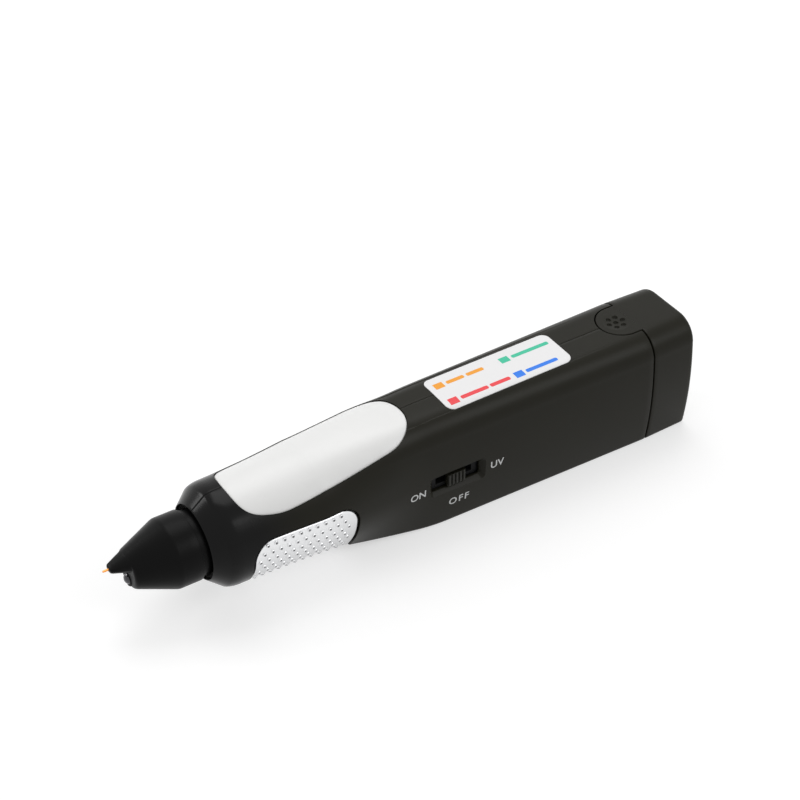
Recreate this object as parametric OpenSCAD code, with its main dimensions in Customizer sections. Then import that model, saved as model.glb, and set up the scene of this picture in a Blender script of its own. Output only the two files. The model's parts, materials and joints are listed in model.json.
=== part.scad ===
// Pen-shaped gem tester with a sprung probe, a lit window and a slide switch.
// The pen lies along X with its nose towards -X and stands on its flat underside, at Z = 0.
// The switch is on the -Y side. The origin is under the middle of the pen's length.

/* [Lengths along the pen] */
// Probe pin beyond the tip of the nose
probe_out = 1.4; // [1.2:0.1:3]
// Finger that carries the probe, from the lamp step to its tip
finger_l = 4.2; // [4:0.1:5]
// Cone from the barrel to the lamp step
cone_l = 9.5; // [9:0.1:12]
// Bare barrel between the cone and the collar
barrel_l = 7; // [6:0.1:12]
// Rounded collar at the front of the case
collar_l = 6; // [5.5:0.1:8]
// Conical front of the collar
collar_cone_l = 2.6; // [1.5:0.1:3]
// Round handle behind the collar
handle_l = 22; // [20:0.5:30]
// Stretch where the round handle turns into the square case
flare_l = 30; // [26:0.5:40]
// Square case up to the battery cover
case_l = 61.8; // [58:0.2:75]
// Battery cover
cover_l = 12.8; // [10:0.1:16]

/* [Cross-sections] */
// Height of the square case
case_h = 31; // [30.5:0.1:36]
// Width of the square case at the battery cover
case_w = 23.9; // [23.4:0.1:28]
// Width of the square case where the flare ends
case_front_w = 21.3; // [20.9:0.1:24]
// Width that the battery cover loses towards its rear face
cover_taper = 0.8; // [0:0.1:1.5]
// Radius of the long edges along the top
top_r = 6.2; // [5:0.1:7]
// Radius of the long edges along the underside
foot_r = 1.3; // [1:0.1:2.5]
// Height at which the sides are widest
crown_z = 15; // [14:0.1:17]
// How far each side draws in towards the underside
side_in = 1.2; // [0.6:0.1:1.4]
// Rounding of the rear face's edge
rear_r = 1.2; // [0.6:0.1:1.5]
// Height of the nose's axis above the underside
nose_z = 16.4; // [15.6:0.1:17.5]
// Outer radius of the collar and of the handle's front
collar_r = 12.5; // [12.2:0.1:13]
// How much the collar's conical front widens
collar_cone_rise = 2.3; // [1.5:0.1:2.6]
// Outer radius of the handle where the flare starts
handle_r = 13.2; // [12.8:0.1:14]
// Length over which the flare's ends are rounded
ease_l = 4; // [2:0.5:6]
// How much fuller the flare is than a straight one
flare_bow = 0.3; // [0:0.05:0.4]
// Wall of the round handle
handle_wall = 2.4; // [2.2:0.1:2.8]
// Wall of the square case and of the battery cover
case_wall = 1.6; // [1.4:0.1:1.8]

/* [Nose] */
// Outer radius of the barrel
barrel_r = 8.4; // [8:0.1:9]
// Dark groove between the barrel and the collar
nose_gap = 0.6; // [0.3:0.1:0.8]
// Depth of that groove
groove_l = 1.6; // [1:0.1:1.8]
// Thickness of the collar's lip that holds the nose
lip_l = 1.6; // [1.2:0.1:1.8]
// How much thinner the nose is inside the collar than at its barrel
spigot_in = 0.3; // [0.2:0.05:0.5]
// Radius of the flange that holds the nose in the case
flange_r = 10.6; // [10.4:0.1:10.9]
// Cone's radius at the lamp step
step_r = 4.56; // [4.4:0.02:4.8]
// Height of the probe's axis above the nose's axis
probe_up = 2.2; // [2:0.05:2.3]
// Finger's radius round the probe at the lamp step
finger_r = 3; // [2.8:0.05:3.1]
// Finger's radius round the probe at its tip
finger_tip_r = 1.25; // [1.1:0.05:1.4]
// Height of the lamp's axis below the nose's axis
lamp_down = 2.65; // [2.6:0.05:2.7]
// Lamp's radius
lamp_r = 1.5; // [1.3:0.05:1.55]
// Length of the lamp from the step to its rim
lamp_l = 4; // [3:0.1:4.5]
// How far the lamp's dome stands out of the step
lamp_out = 0.9; // [0.5:0.1:1.3]
// Width and length of the lamp's rim
lamp_rim = 0.25; // [0.15:0.05:0.4]
// Hollow of the barrel
hollow_r = 6.4; // [6:0.1:6.8]
// How far the hollow reaches into the cone
hollow_set = 0.5; // [0:0.1:1]
// Chamfer at the finger's tip
tip_chamfer = 0.3; // [0.1:0.05:0.4]

/* [Probe] */
// Radius of the copper pin
pin_r = 0.26; // [0.24:0.01:0.4]
// How far the pin can be pushed in
probe_throw = 1; // [0.5:0.1:1.2]
// Outer radius of the pin's guide sleeve
sleeve_r = 0.9; // [0.8:0.05:1]
// Solid plastic between the finger's tip and the sleeve
sleeve_set = 1.8; // [1.6:0.1:2.5]
// Radius of the pin's shoulder
shoulder_r = 1.6; // [1.5:0.05:1.7]
// Thickness of the pin's shoulder
shoulder_l = 1.2; // [1:0.1:1.5]
// Wire of the return spring
spring_wire = 0.36; // [0.3:0.02:0.4]
// Length of the return spring
spring_l = 5.6; // [5.2:0.1:7]
// Turns of the return spring
spring_turns = 5; // [4:1:5]
// Thickness of the carrier's disc
carrier_l = 2.5; // [2:0.1:3]
// Wall of the carrier's tube
carrier_wall = 0.8; // [0.6:0.1:1]

/* [Window] */
// Length of the window
window_l = 46.4; // [44:0.1:49]
// Width of the window at its widest
window_w = 20.4; // [19:0.1:20.9]
// Width of the window over its front corners
window_front_w = 18.7; // [17:0.1:19]
// Width of the window where its rear end starts to round
window_rear_w = 17; // [16:0.1:19]
// Radius of the window's front corners
window_corner_r = 4.2; // [4:0.1:6]
// Radius of the window's rear end
window_rear_r = 7.6; // [6:0.1:8]
// Radius to which the window's sides are drawn
window_side_r = 9; // [8:0.1:9.5]
// How far the window's front edge bows out between its corners
window_bow = 0.5; // [0.2:0.1:1]
// Distance from the window's front to where it is widest
window_wide_set = 10.5; // [9.5:0.1:12]
// Length over which the window stays at its widest
window_wide_l = 8.5; // [6:0.1:12]
// Distance from the collar to the window
window_set = 1.8; // [1:0.1:3]
// Thickness of the window
window_t = 1.2; // [1:0.1:1.4]
// How far the window stands proud of the case
window_proud = 0.3; // [0.1:0.05:0.5]
// Width of the ledge under the window's edge
window_ledge = 2; // [1.5:0.1:3]

/* [Grip] */
// Length of the grip plate
grip_l = 26.2; // [24:0.1:27]
// Distance from the collar to the grip plate
grip_set = 2.7; // [2.5:0.1:4]
// Height of the grip plate's top edge above the nose's axis
grip_up = 3.5; // [2:0.1:4]
// Radius of the grip plate's upper corners
grip_corner_r = 3.8; // [2.5:0.1:4.5]
// Thickness of the grip plate
grip_t = 0.8; // [0.6:0.05:0.9]
// Depth of the grip plate's face below the case
grip_sink = 0.2; // [0.1:0.05:0.5]

/* [Label] */
// Length of the label
label_l = 35.4; // [25:0.2:36]
// Width of the label
label_w = 12; // [8:0.1:12.6]
// Radius of the label's corners
label_r = 2; // [1:0.1:3]
// Distance from the flare's end to the label
label_set = 5.5; // [4:0.1:7]
// How far the label sits off the seam, towards the switch
label_off = 0.5; // [0:0.05:1]
// Thickness of the label
label_t = 0.15; // [0.1:0.05:0.3]

/* [Switch] */
// Distance from the flare's end to the middle of the switch
switch_set = 5.4; // [4:0.1:8]
// Height of the switch above the underside
switch_z = 13.3; // [12.5:0.1:14]
// Length of the slot
slot_l = 13; // [12.6:0.1:15]
// Height of the slot
slot_h = 3.8; // [3.6:0.1:4.4]
// Chamfer round the slot's mouth
slot_chamfer = 1.1; // [0.6:0.1:1.4]
// Length of the knob
knob_l = 5; // [4:0.1:5.2]
// Height of the knob
knob_h = 3.2; // [2.6:0.1:3.3]
// How far the knob slides each way from its middle
switch_throw = 3.6; // [2:0.1:3.6]
// How far the knob's face lies below the case
knob_sink = 0.2; // [0.1:0.05:0.4]
// Length of the slider's post
post_l = 2.4; // [1.6:0.1:3]
// Height of the slider's post
post_h = 1.6; // [1.2:0.1:2]
// Depth of the slider's post inside the switch
post_d = 2.4; // [2:0.1:3]
// Length of the switch's body
switch_l = 14.4; // [14:0.1:16]
// Height of the switch's body
switch_h = 5; // [4.6:0.1:5.4]
// Depth of the switch's body
switch_d = 4.6; // [4:0.1:5]

/* [Battery cover] */
// Width of the cover's tongue
tongue_w = 11.5; // [8:0.1:12]
// Length of the tongue in front of the cover
tongue_l = 8.2; // [7.5:0.1:10]
// Length of the cover's guide tabs inside the case
tab_l = 5; // [3:0.1:8]
// Length of the guide tabs' roots inside the cover
tab_root = 3; // [2:0.1:5]
// Thickness of the guide tabs
tab_t = 1.1; // [0.8:0.1:1.4]
// Height of the guide tabs
tab_h = 8; // [5:0.1:12]
// Gap along the parting line
part_gap = 0.35; // [0.2:0.05:0.5]
// Radius of the round of thumb dimples
dimple_ring = 2; // [1.5:0.1:2.4]
// Radius of a thumb dimple
dimple_r = 0.5; // [0.3:0.05:0.6]
// Depth of the thumb dimples
dimple_d = 0.4; // [0.2:0.05:0.6]

/* [Battery] */
// Length of the battery without its terminals
battery_l = 46; // [44:0.5:48]
// Room below the battery, which stands upright in the case
battery_under = 0.3; // [0.2:0.1:0.6]
// Room above the battery, under the cover's tongue
battery_over = 1.5; // [1.2:0.1:2]
// Room on each side of the battery at its middle
battery_side = 1.3; // [1.2:0.05:1.6]
// Radius of the battery's long edges
battery_r = 2.5; // [2:0.1:3]
// Radius of the battery's round terminal
plus_r = 2.9; // [2.7:0.1:3]
// Radius of the battery's six-sided terminal
minus_r = 4; // [3.7:0.1:4.2]
// Distance between the battery's terminals
terminal_pitch = 12.7; // [12.4:0.1:13]
// Thickness of the battery's snap
snap_t = 2; // [1.5:0.1:3]
// Width of the battery's snap
snap_w = 13; // [12.4:0.1:15]
// Height of the battery's terminals
terminal_l = 2.5; // [2:0.1:3]

/* [Board] */
// Length of the circuit board
board_l = 62; // [60:0.5:64]
// Width of the circuit board
board_w = 16; // [14:0.1:16.2]
// Thickness of the ribs inside the case
rib_t = 1.4; // [1:0.1:2]
// How deep the ribs hold the circuit board's edges
rib_hold = 2.4; // [1.5:0.1:3]
// How far the bulkhead reaches in behind the battery's snap
bulkhead_in = 3; // [2.2:0.1:4]
// Thickness of the circuit board
board_t = 1.2; // [1:0.1:1.6]
// Distance from the collar to the circuit board
board_set = 8; // [7:0.1:9]
// Radius of the buzzer
buzzer_r = 5; // [4:0.1:5.2]
// Height of the buzzer
buzzer_h = 5.5; // [4:0.1:7]
// Side of an indicator lamp
indicator_w = 5; // [3.5:0.1:5]
// Height of an indicator lamp
indicator_h = 1.6; // [1:0.1:2]
// Number of indicator lamps
indicator_count = 4; // [3:1:4]
// Side of the control chip
chip_w = 7; // [5:0.5:8]
// Height of the control chip
chip_h = 1; // [0.8:0.1:1.6]
// Spacing of the small parts on the board
part_pitch = 3.6; // [3:0.1:3.8]

/* [Fasteners and fits] */
// Radius of a screw's shank
screw_r = 1; // [0.8:0.05:1.2]
// Radius of a screw's head
head_r = 1.9; // [1.7:0.1:2.1]
// Height of a screw's head
head_l = 1.5; // [1.2:0.1:1.8]
// Length of a screw under its head
screw_l = 12; // [10:0.5:13]
// Distance from the seam to a screw's head
head_y = 6; // [5:0.1:6.5]
// Radius of a screw boss
boss_r = 2.6; // [2.4:0.1:2.8]
// Room between a screw boss and the board
boss_gap = 1; // [0.6:0.1:1.4]
// Loose fit between pieces that are laid or clipped together
fit = 0.1; // [0.05:0.01:0.15]
// Running fit round the probe
run_fit = 0.04; // [0.02:0.01:0.08]

/* [Hidden] */
$fn = 64;

// Stations along X, from the probe's tip to the rear face
pen_l = probe_out + finger_l + cone_l + barrel_l + collar_l + handle_l + flare_l + case_l + cover_l;
x_tip = -pen_l / 2;
x_finger = x_tip + probe_out;
x_step = x_finger + finger_l;
x_barrel = x_step + cone_l;
x_collar = x_barrel + barrel_l;
x_handle = x_collar + collar_l;
x_flare = x_handle + handle_l;
x_case = x_flare + flare_l;
x_cover = x_case + case_l;
x_rear = x_cover + cover_l;

// Overlap that makes cuts pass through cleanly, and a size beyond every outline
eps = 0.5;
far = 60;
// Depth of the skin that inner ribs and bosses grow out of
root_in = 0.7;
// Lap of the handle's wall inside the collar, and how deep it lies there
lap_l = 1;
lap_in = 0.4;
// Material that is trimmed off below the underside, so that the pen stands on one flat face
foot_trim = 0.2;

// Points on each stretch of the half outline
n_top = 3;
n_edge = 8;
n_side = 8;
n_foot = 3;
n_base = 3;

// A ramp from 0 to 1 whose two ends are rounded over a share e of its length
function eased(t, e) = t <= -e ? 0
    : t < e ? pow(t + e, 2) / (4 * e)
    : t <= 1 - e ? t
    : t < 1 + e ? 1 - pow(1 + e - t, 2) / (4 * e)
    : 1;
function clamp01(t) = min(1, max(0, t));
function mix(a, b, t) = a + (b - a) * t;

// How square the section is at x: 0 on the handle, 1 on the case
function squareness(x) = let (t = eased((x - x_flare) / flare_l, ease_l / flare_l)) t + flare_bow * t * (1 - t);
function round_r(x) = mix(collar_r, handle_r, pow(clamp01((x - x_handle) / handle_l), 2));
function half_w(x) = x <= x_cover
    ? mix(case_front_w, case_w, (x - x_case) / case_l) / 2
    : mix(case_w, case_w - cover_taper, (x - x_cover) / cover_l) / 2;
function wall_at(x) = mix(handle_wall, case_wall, squareness(x));

// Half outline of the square case from the middle of the top to the middle of the underside
function side_y(w, z) = w - side_in * pow((z - crown_z) / crown_z, 2);
function square_half(w, inset) = let (
        z_edge = case_h - top_r,
        y_edge = side_y(w, z_edge) - top_r,
        r_edge = top_r - inset,
        r_foot = max(foot_r - inset, 0.3),
        base = inset - foot_trim,
        z_foot = base + r_foot,
        y_foot = side_y(w, z_foot) - inset - r_foot
    ) concat(
        [for (i = [0 : n_top - 1]) [y_edge * i / n_top, case_h - inset]],
        [for (i = [0 : n_edge]) let (a = 90 * i / n_edge)
            [y_edge + r_edge * sin(a), z_edge + r_edge * cos(a)]],
        [for (i = [1 : n_side - 1]) let (z = mix(z_edge, z_foot, i / n_side))
            [side_y(w, z) - inset, z]],
        [for (i = [0 : n_foot]) let (a = 90 * i / n_foot)
            [y_foot + r_foot * cos(a), z_foot - r_foot * sin(a)]],
        [for (i = [1 : n_base]) [y_foot * (1 - i / n_base), base]]
    );

// The same points, drawn towards the round handle along rays from the nose's axis
function half_outline(x, inset) = let (s = squareness(x), r = round_r(x) - inset)
    [for (p = square_half(half_w(x), inset)) let (a = atan2(p[1] - nose_z, p[0]))
        [mix(r * cos(a), p[0], s), mix(nose_z + r * sin(a), p[1], s)]];

function at_x(x, outline) = [for (p = outline) [x, p[0], p[1]]];
function reversed(list) = [for (i = [len(list) - 1 : -1 : 0]) list[i]];
function mirrored(outline) = [for (i = [len(outline) - 2 : -1 : 1]) [-outline[i][0], outline[i][1]]];
function full_ring(x, inset) = let (h = half_outline(x, inset)) at_x(x, concat(h, mirrored(h)));
function wall_ring(x, skin) = at_x(x, concat(half_outline(x, skin), reversed(half_outline(x, wall_at(x)))));

// Triangles between each ring of n points and the next, with the other diagonal from point flip onwards
function band_faces(n, count, flip) = [for (i = [0 : count - 2], k = [0 : n - 1])
    let (a = i * n + k, b = i * n + (k + 1) % n)
    each k < flip ? [[a, b, b + n], [a, b + n, a + n]] : [[a, b, a + n], [b, b + n, a + n]]];

// A closed solid through full rings, with each end closed from a point on the nose's axis.
// Its two halves are mirror images, so that they fit the two halves of the case alike.
module loft(rings) {
    n = len(rings[0]);
    last = (len(rings) - 1) * n;
    hub = len(rings) * n;
    polyhedron(
        points = concat([for (ring = rings) each ring],
            [[rings[0][0][0], 0, nose_z], [rings[len(rings) - 1][0][0], 0, nose_z]]),
        faces = concat(
            [for (k = [0 : n - 1]) [hub, (k + 1) % n, k]],
            band_faces(n, len(rings), n / 2),
            [for (k = [0 : n - 1]) [hub + 1, last + k, last + (k + 1) % n]]
        ),
        convexity = 4
    );
}

// A closed wall through rings that run along the outside and back along the inside
module wall_loft(rings) {
    n = len(rings[0]);
    last = (len(rings) - 1) * n;
    polyhedron(
        points = [for (ring = rings) each ring],
        faces = concat(
            [for (k = [0 : n / 2 - 2]) each [[n - 2 - k, k + 1, k], [n - 1 - k, n - 2 - k, k]]],
            band_faces(n, len(rings), n),
            [for (k = [0 : n / 2 - 2]) let (a = last + k, b = last + n - 1 - k)
                each [[a, a + 1, b - 1], [a, b - 1, b]]]
        ),
        convexity = 6
    );
}

// Stations of the shells, closer together where the flare starts and ends
flare_x = [x_flare - ease_l, x_flare - ease_l / 3, x_flare + ease_l / 3, x_flare + ease_l];
flare_end_x = [for (x = reversed(flare_x)) x_flare + x_case - x];
flare_mid_x = x_flare + flare_l / 2;
shell_x = concat([x_handle + lap_l], flare_x, [flare_mid_x], flare_end_x, [x_cover - part_gap / 2]);
// Stations of the solids that cut and fill the handle and the flare
front_x = concat([x_handle - eps], flare_x, [flare_mid_x], flare_end_x);

// The case's outer form, set in by a depth, over the handle and the flare
module front_form(inset) {
    loft([for (x = front_x) full_ring(x, inset)]);
}

// The case's outer form, set in by a depth, over its whole length
module case_form(inset) {
    loft([for (x = shell_x) full_ring(x, inset)]);
}

// Rounds that the window's outline runs over: place along the pen, width across both, radius
window_x = x_handle + window_set;
window_rounds = [
    [window_x + window_side_r, 2 * window_side_r, window_side_r],
    [window_x + window_bow + window_corner_r, window_front_w, window_corner_r],
    [window_x + window_wide_set, window_w, window_side_r],
    [window_x + window_wide_set + window_wide_l, window_w, window_side_r],
    [window_x + window_l - window_rear_r, window_rear_w, window_rear_r]
];

// Window outline seen from above, set in by a margin: bowed front, sides that draw in, round rear
module window_outline(margin) {
    hull() for (round = window_rounds, side = [-1, 1])
        translate([round[0], side * (round[1] / 2 - round[2])]) circle(round[2] - margin);
}

module window_prism(margin) {
    translate([0, 0, nose_z]) linear_extrude(far) window_outline(margin);
}

window_bed = window_t - window_proud + fit;

// Grip outline seen from the side, grown by a margin: round upper corners, open below
module grip_outline(margin) {
    r = grip_corner_r + margin;
    x0 = x_handle + grip_set - margin;
    x1 = x_handle + grip_set + grip_l + margin;
    z1 = nose_z + grip_up + margin;
    translate([x0, -far]) square([x1 - x0, far + z1 - r]);
    translate([x0 + r, z1 - r - eps]) square([x1 - x0 - 2 * r, r + eps]);
    for (x = [x0 + r, x1 - r]) translate([x, z1 - r]) circle(r);
}

module grip_prism(margin) {
    translate([0, far, 0]) rotate([90, 0, 0]) linear_extrude(2 * far) grip_outline(margin);
}

grip_bed = grip_sink + grip_t + fit;

// Rectangle with round corners, centred
module round_rect(l, w, r) {
    square([l - 2 * r, w], center = true);
    square([l, w - 2 * r], center = true);
    for (sx = [-1, 1], sy = [-1, 1]) translate([sx * (l / 2 - r), sy * (w / 2 - r)]) circle(r);
}

// Middle of the label
label_x = x_case + label_set + label_l / 2;

// Tongue outline seen from above, grown by a gap
module tongue_outline(gap) {
    r = tongue_w / 2 + gap;
    x0 = x_cover - tongue_l + tongue_w / 2;
    translate([x0, 0]) circle(r);
    translate([x0, -r]) square([x_cover + tongue_l - x0, 2 * r]);
}

// Switch, board and battery places
switch_x = x_case + switch_set;
slot_y = side_y(half_w(switch_x), switch_z);
board_top = switch_z - switch_h / 2;
board_x0 = x_handle + board_set;
board_x1 = board_x0 + board_l;
battery_x1 = x_rear - case_wall - fit;
battery_x0 = battery_x1 - battery_l;
battery_h = case_h - 2 * case_wall - battery_under - battery_over;
battery_z = case_wall + battery_under + battery_h / 2;
battery_t = 2 * (side_y(half_w(battery_x0), battery_z) - case_wall - battery_side);
snap_x1 = battery_x0 - terminal_l;
bulkhead_x = snap_x1 - snap_t - rib_t;
// Board ribs: near the board's ends and at the middle of the flare
rib_end = 2;
rib_x = [board_x0 + rib_end, flare_mid_x, board_x1 - rib_end - rib_t];
rib_y = board_w / 2 - rib_hold;
// Screws, as X and Z: two under the board and one near the top, in front of the battery
screw_low_z = board_top - board_t - boss_r - boss_gap;
screw_high_z = case_h - case_wall - boss_r - 2 * boss_gap;
screw_at = [
    [flare_mid_x + 2 * boss_r, screw_low_z],
    [switch_x + boss_r, screw_low_z],
    [bulkhead_x - 2 * boss_r, screw_high_z]
];

// One half of the collar and the nose's seat, turned round the nose's axis.
// Its profile is a cone that rolls over into the handle along a curve tangent to both.
spigot_r = barrel_r - spigot_in;
cone_end = [barrel_r + nose_gap + collar_cone_rise, collar_cone_l];
cone_meet = [collar_r, collar_cone_l * (1 + (collar_r - cone_end[0]) / collar_cone_rise)];
collar_end = [collar_r, collar_l];
collar_curve = [for (t = [0 : 0.2 : 1]) let (u = 1 - t)
    u * u * cone_end + 2 * u * t * cone_meet + t * t * collar_end];
module half_collar() {
    seat_r = flange_r + fit;
    lip_x = groove_l + lip_l;
    translate([x_collar, 0, nose_z]) rotate([0, 90, 0]) rotate_extrude(angle = 180, $fn = 96)
        polygon(concat(
            [[barrel_r + nose_gap, 0]],
            collar_curve,
            [[seat_r, collar_l], [seat_r, lip_x], [spigot_r + fit, lip_x]],
            [[spigot_r + fit, groove_l], [barrel_r + nose_gap, groove_l]]
        ));
}

// Ribs and screw bosses inside one half, trimmed to the wall
module half_inside() {
    intersection() {
        union() {
            for (x = rib_x) translate([x, rib_y, 0]) cube([rib_t, far, board_top + board_t]);
            difference() {
                translate([bulkhead_x, battery_t / 2 - bulkhead_in, 0]) cube([rib_t, far, case_h]);
                translate([bulkhead_x - eps, 0, switch_z]) cube([rib_t + 2 * eps, far, switch_h]);
            }
            for (p = screw_at) translate([p[0], 0, p[1]]) rotate([-90, 0, 0]) cylinder(r = boss_r, h = far);
        }
        case_form(root_in);
    }
}

// Half of the case on the +Y side, before its own holes
module half_case() {
    difference() {
        union() {
            wall_loft(concat([wall_ring(x_handle - lap_l, lap_in)], [for (x = shell_x) wall_ring(x, 0)]));
            half_collar();
            half_inside();
        }
        difference() {
            window_prism(-fit);
            front_form(window_bed);
        }
        window_prism(window_ledge);
        difference() {
            grip_prism(fit);
            front_form(grip_bed);
        }
        translate([0, 0, case_h - case_wall - eps]) linear_extrude(far) tongue_outline(part_gap);
        translate([board_x0 - fit, -far, board_top - board_t - fit])
            cube([board_l + 2 * fit, far + board_w / 2 + fit, board_t + 2 * fit]);
        translate([contact_x, 0, 0]) cylinder(r = contact_r / 2 + 2 * fit, h = board_top - board_t);
        translate([-far * 2, -far, -far]) cube([far * 4, far * 2, far]);
    }
}

module right_shell() {
    color([0.17, 0.17, 0.16]) difference() {
        half_case();
        for (p = screw_at) translate([p[0], 0, p[1]]) rotate([-90, 0, 0]) {
            translate([0, 0, -eps]) cylinder(r = screw_r + fit, h = far);
            translate([0, 0, head_y]) cylinder(r = head_r + fit, h = far);
        }
    }
}

module left_shell() {
    color([0.17, 0.17, 0.16]) difference() {
        mirror([0, 1, 0]) half_case();
        for (p = screw_at) translate([p[0], 0, p[1]]) rotate([90, 0, 0])
            translate([0, 0, -eps]) cylinder(r = screw_r, h = screw_l - head_y + eps + boss_gap);
        translate([switch_x, -slot_y, switch_z]) {
            cube([slot_l, 4 * case_wall, slot_h], center = true);
            hull() for (side = [-1, 1]) translate([0, -side * slot_chamfer, 0])
                cube([slot_l, run_fit, slot_h] + (1 + side) * slot_chamfer * [2, 0, 2], center = true);
        }
    }
}

// Cover: outer form with a rounded rear edge
module cover_form() {
    steps = 4;
    loft(concat(
        [full_ring(x_cover + part_gap / 2, 0)],
        [for (i = [0 : steps]) let (a = 90 * i / steps)
            full_ring(x_rear - rear_r + rear_r * sin(a), rear_r * (1 - cos(a)))]
    ));
}

// Cover: guide tabs that slide inside the case's side walls
tab_y = side_y(half_w(x_cover - tab_l), nose_z - tab_h / 2) - case_wall - 3 * fit;
module cover_tabs() {
    root_x = x_cover + part_gap;
    for (side = [0, 1]) mirror([0, side, 0]) {
        translate([x_cover - tab_l, tab_y - tab_t, nose_z - tab_h / 2])
            cube([tab_l + tab_root, tab_t, tab_h]);
        translate([root_x, tab_y - tab_t, nose_z - tab_h / 2])
            cube([x_cover + tab_root - root_x, tab_t + case_wall, tab_h]);
    }
}

module battery_cover() {
    dimple_x = x_cover - tongue_l + tongue_w / 2 - dimple_ring / 2;
    color([0.17, 0.17, 0.16]) difference() {
        union() {
            difference() {
                cover_form();
                loft([for (x = [x_cover - eps, x_rear - case_wall]) full_ring(x, case_wall)]);
            }
            translate([0, 0, case_h - case_wall]) linear_extrude(case_wall) tongue_outline(0);
            cover_tabs();
        }
        for (i = [0 : 6]) dimple_place(dimple_x, i) translate([0, 0, case_h - dimple_d])
            cylinder(r = dimple_r, h = dimple_d + eps);
        translate([-far * 2, -far, -far]) cube([far * 4, far * 2, far]);
    }
}

// Place number i of a round of six, with number 6 in the middle
module dimple_place(x, i) {
    ring = i < 6 ? dimple_ring : 0;
    translate([x + ring * cos(60 * i), ring * sin(60 * i), 0]) children();
}

module light_window() {
    color([0.92, 0.92, 0.92]) difference() {
        intersection() {
            window_prism(0);
            front_form(-window_proud);
        }
        front_form(window_t - window_proud);
    }
}

module grip_plate() {
    color([0.88, 0.88, 0.9]) difference() {
        intersection() {
            grip_prism(0);
            front_form(grip_sink);
        }
        front_form(grip_sink + grip_t);
    }
}

// The label follows the case's rounded edges
module legend_label() {
    color([0.96, 0.96, 0.95]) difference() {
        intersection() {
            translate([label_x, -label_off, case_h / 2]) linear_extrude(far)
                round_rect(label_l, label_w, label_r);
            case_form(-label_t);
        }
        case_form(0);
    }
}

// Nose: places along its own axis
probe_z = nose_z + probe_up;
lamp_z = nose_z - lamp_down;
flange_x0 = x_collar + groove_l + lip_l + fit;
flange_x1 = x_handle - lap_l - fit;
hollow_x = x_barrel - hollow_set;
lamp_flange_l = 4 * lamp_rim;
lamp_flange_r = lamp_r + lamp_rim;
spring_x0 = hollow_x + fit + shoulder_l;
carrier_x = spring_x0 + spring_l;

module along_x(x, z) {
    translate([x, 0, z]) rotate([0, 90, 0]) children();
}

// Nose: one cone up to the tip, cut back to the probe's finger in front of the lamp step
module nose_cone() {
    tip_r = step_r - finger_l * (barrel_r - step_r) / cone_l;
    color([0.08, 0.08, 0.08]) difference() {
        along_x(0, nose_z) rotate_extrude($fn = 96) polygon([
            [0, x_finger], [tip_r, x_finger], [barrel_r, x_barrel], [barrel_r, x_collar],
            [spigot_r, x_collar], [spigot_r, flange_x0], [flange_r, flange_x0],
            [flange_r, flange_x1], [0, flange_x1]
        ]);
        difference() {
            translate([x_finger - eps, -barrel_r, nose_z - barrel_r])
                cube([finger_l + eps, 2 * barrel_r, 2 * barrel_r]);
            along_x(0, probe_z) rotate_extrude() polygon([
                [0, x_finger - 2 * eps], [finger_tip_r - tip_chamfer, x_finger - 2 * eps],
                [finger_tip_r - tip_chamfer, x_finger], [finger_tip_r, x_finger + tip_chamfer],
                [finger_r, x_step], [finger_r, x_step + eps], [0, x_step + eps]
            ]);
        }
        along_x(hollow_x, nose_z) cylinder(r = hollow_r, h = far);
        along_x(x_finger - eps, probe_z) cylinder(r = pin_r + run_fit, h = far);
        along_x(x_finger + sleeve_set, probe_z) cylinder(r = sleeve_r + fit, h = far);
        along_x(x_step - eps, lamp_z) cylinder(r = lamp_r + fit, h = far);
        along_x(x_step + lamp_l - fit, lamp_z) cylinder(r = lamp_flange_r + fit, h = far);
    }
}

module probe_sleeve() {
    color([0.93, 0.91, 0.86]) along_x(x_finger + sleeve_set, probe_z) difference() {
        cylinder(r = sleeve_r, h = hollow_x - x_finger - sleeve_set);
        translate([0, 0, -eps]) cylinder(r = pin_r + run_fit, h = far);
    }
}

// Pin with its shoulder and the stem that centres the spring
stem_r = shoulder_r / 2;
stem_x1 = carrier_x - probe_throw - 3 * fit;
module probe_pin() {
    nib = pin_r / 2;
    color([0.85, 0.5, 0.25]) along_x(0, probe_z) rotate_extrude() polygon([
        [0, x_tip], [pin_r - nib, x_tip], [pin_r, x_tip + nib], [pin_r, hollow_x + fit],
        [shoulder_r, hollow_x + fit], [shoulder_r, spring_x0],
        [stem_r, spring_x0], [stem_r, stem_x1], [0, stem_x1]
    ]);
}

bead_r = stem_r - fit;
module thermistor() {
    color([0.25, 0.2, 0.15]) along_x(stem_x1, probe_z) cylinder(r = bead_r, h = carrier_l);
}

// Tube along a path, with its sides set square to the path and away from a direction
function unit(v) = v / norm(v);
function tangent(path, i) = unit(path[min(i + 1, len(path) - 1)] - path[max(i - 1, 0)]);
function tube_ring(c, t, away, r, sides) = let (u = unit(cross(t, away)), v = cross(u, t))
    [for (k = [0 : sides - 1]) let (a = 360 * k / sides) c + r * (u * cos(a) + v * sin(a))];
module tube(path, r, sides, away) {
    rings = [for (i = [0 : len(path) - 1]) tube_ring(path[i], tangent(path, i), away, r, sides)];
    last = (len(path) - 1) * sides;
    hub = len(path) * sides;
    polyhedron(
        points = concat([for (ring = rings) each ring], [path[0], path[len(path) - 1]]),
        faces = concat(
            [for (k = [0 : sides - 1]) [hub, (k + 1) % sides, k]],
            band_faces(sides, len(path), sides),
            [for (k = [0 : sides - 1]) [hub + 1, last + k, last + (k + 1) % sides]]
        ),
        convexity = 8
    );
}

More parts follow.
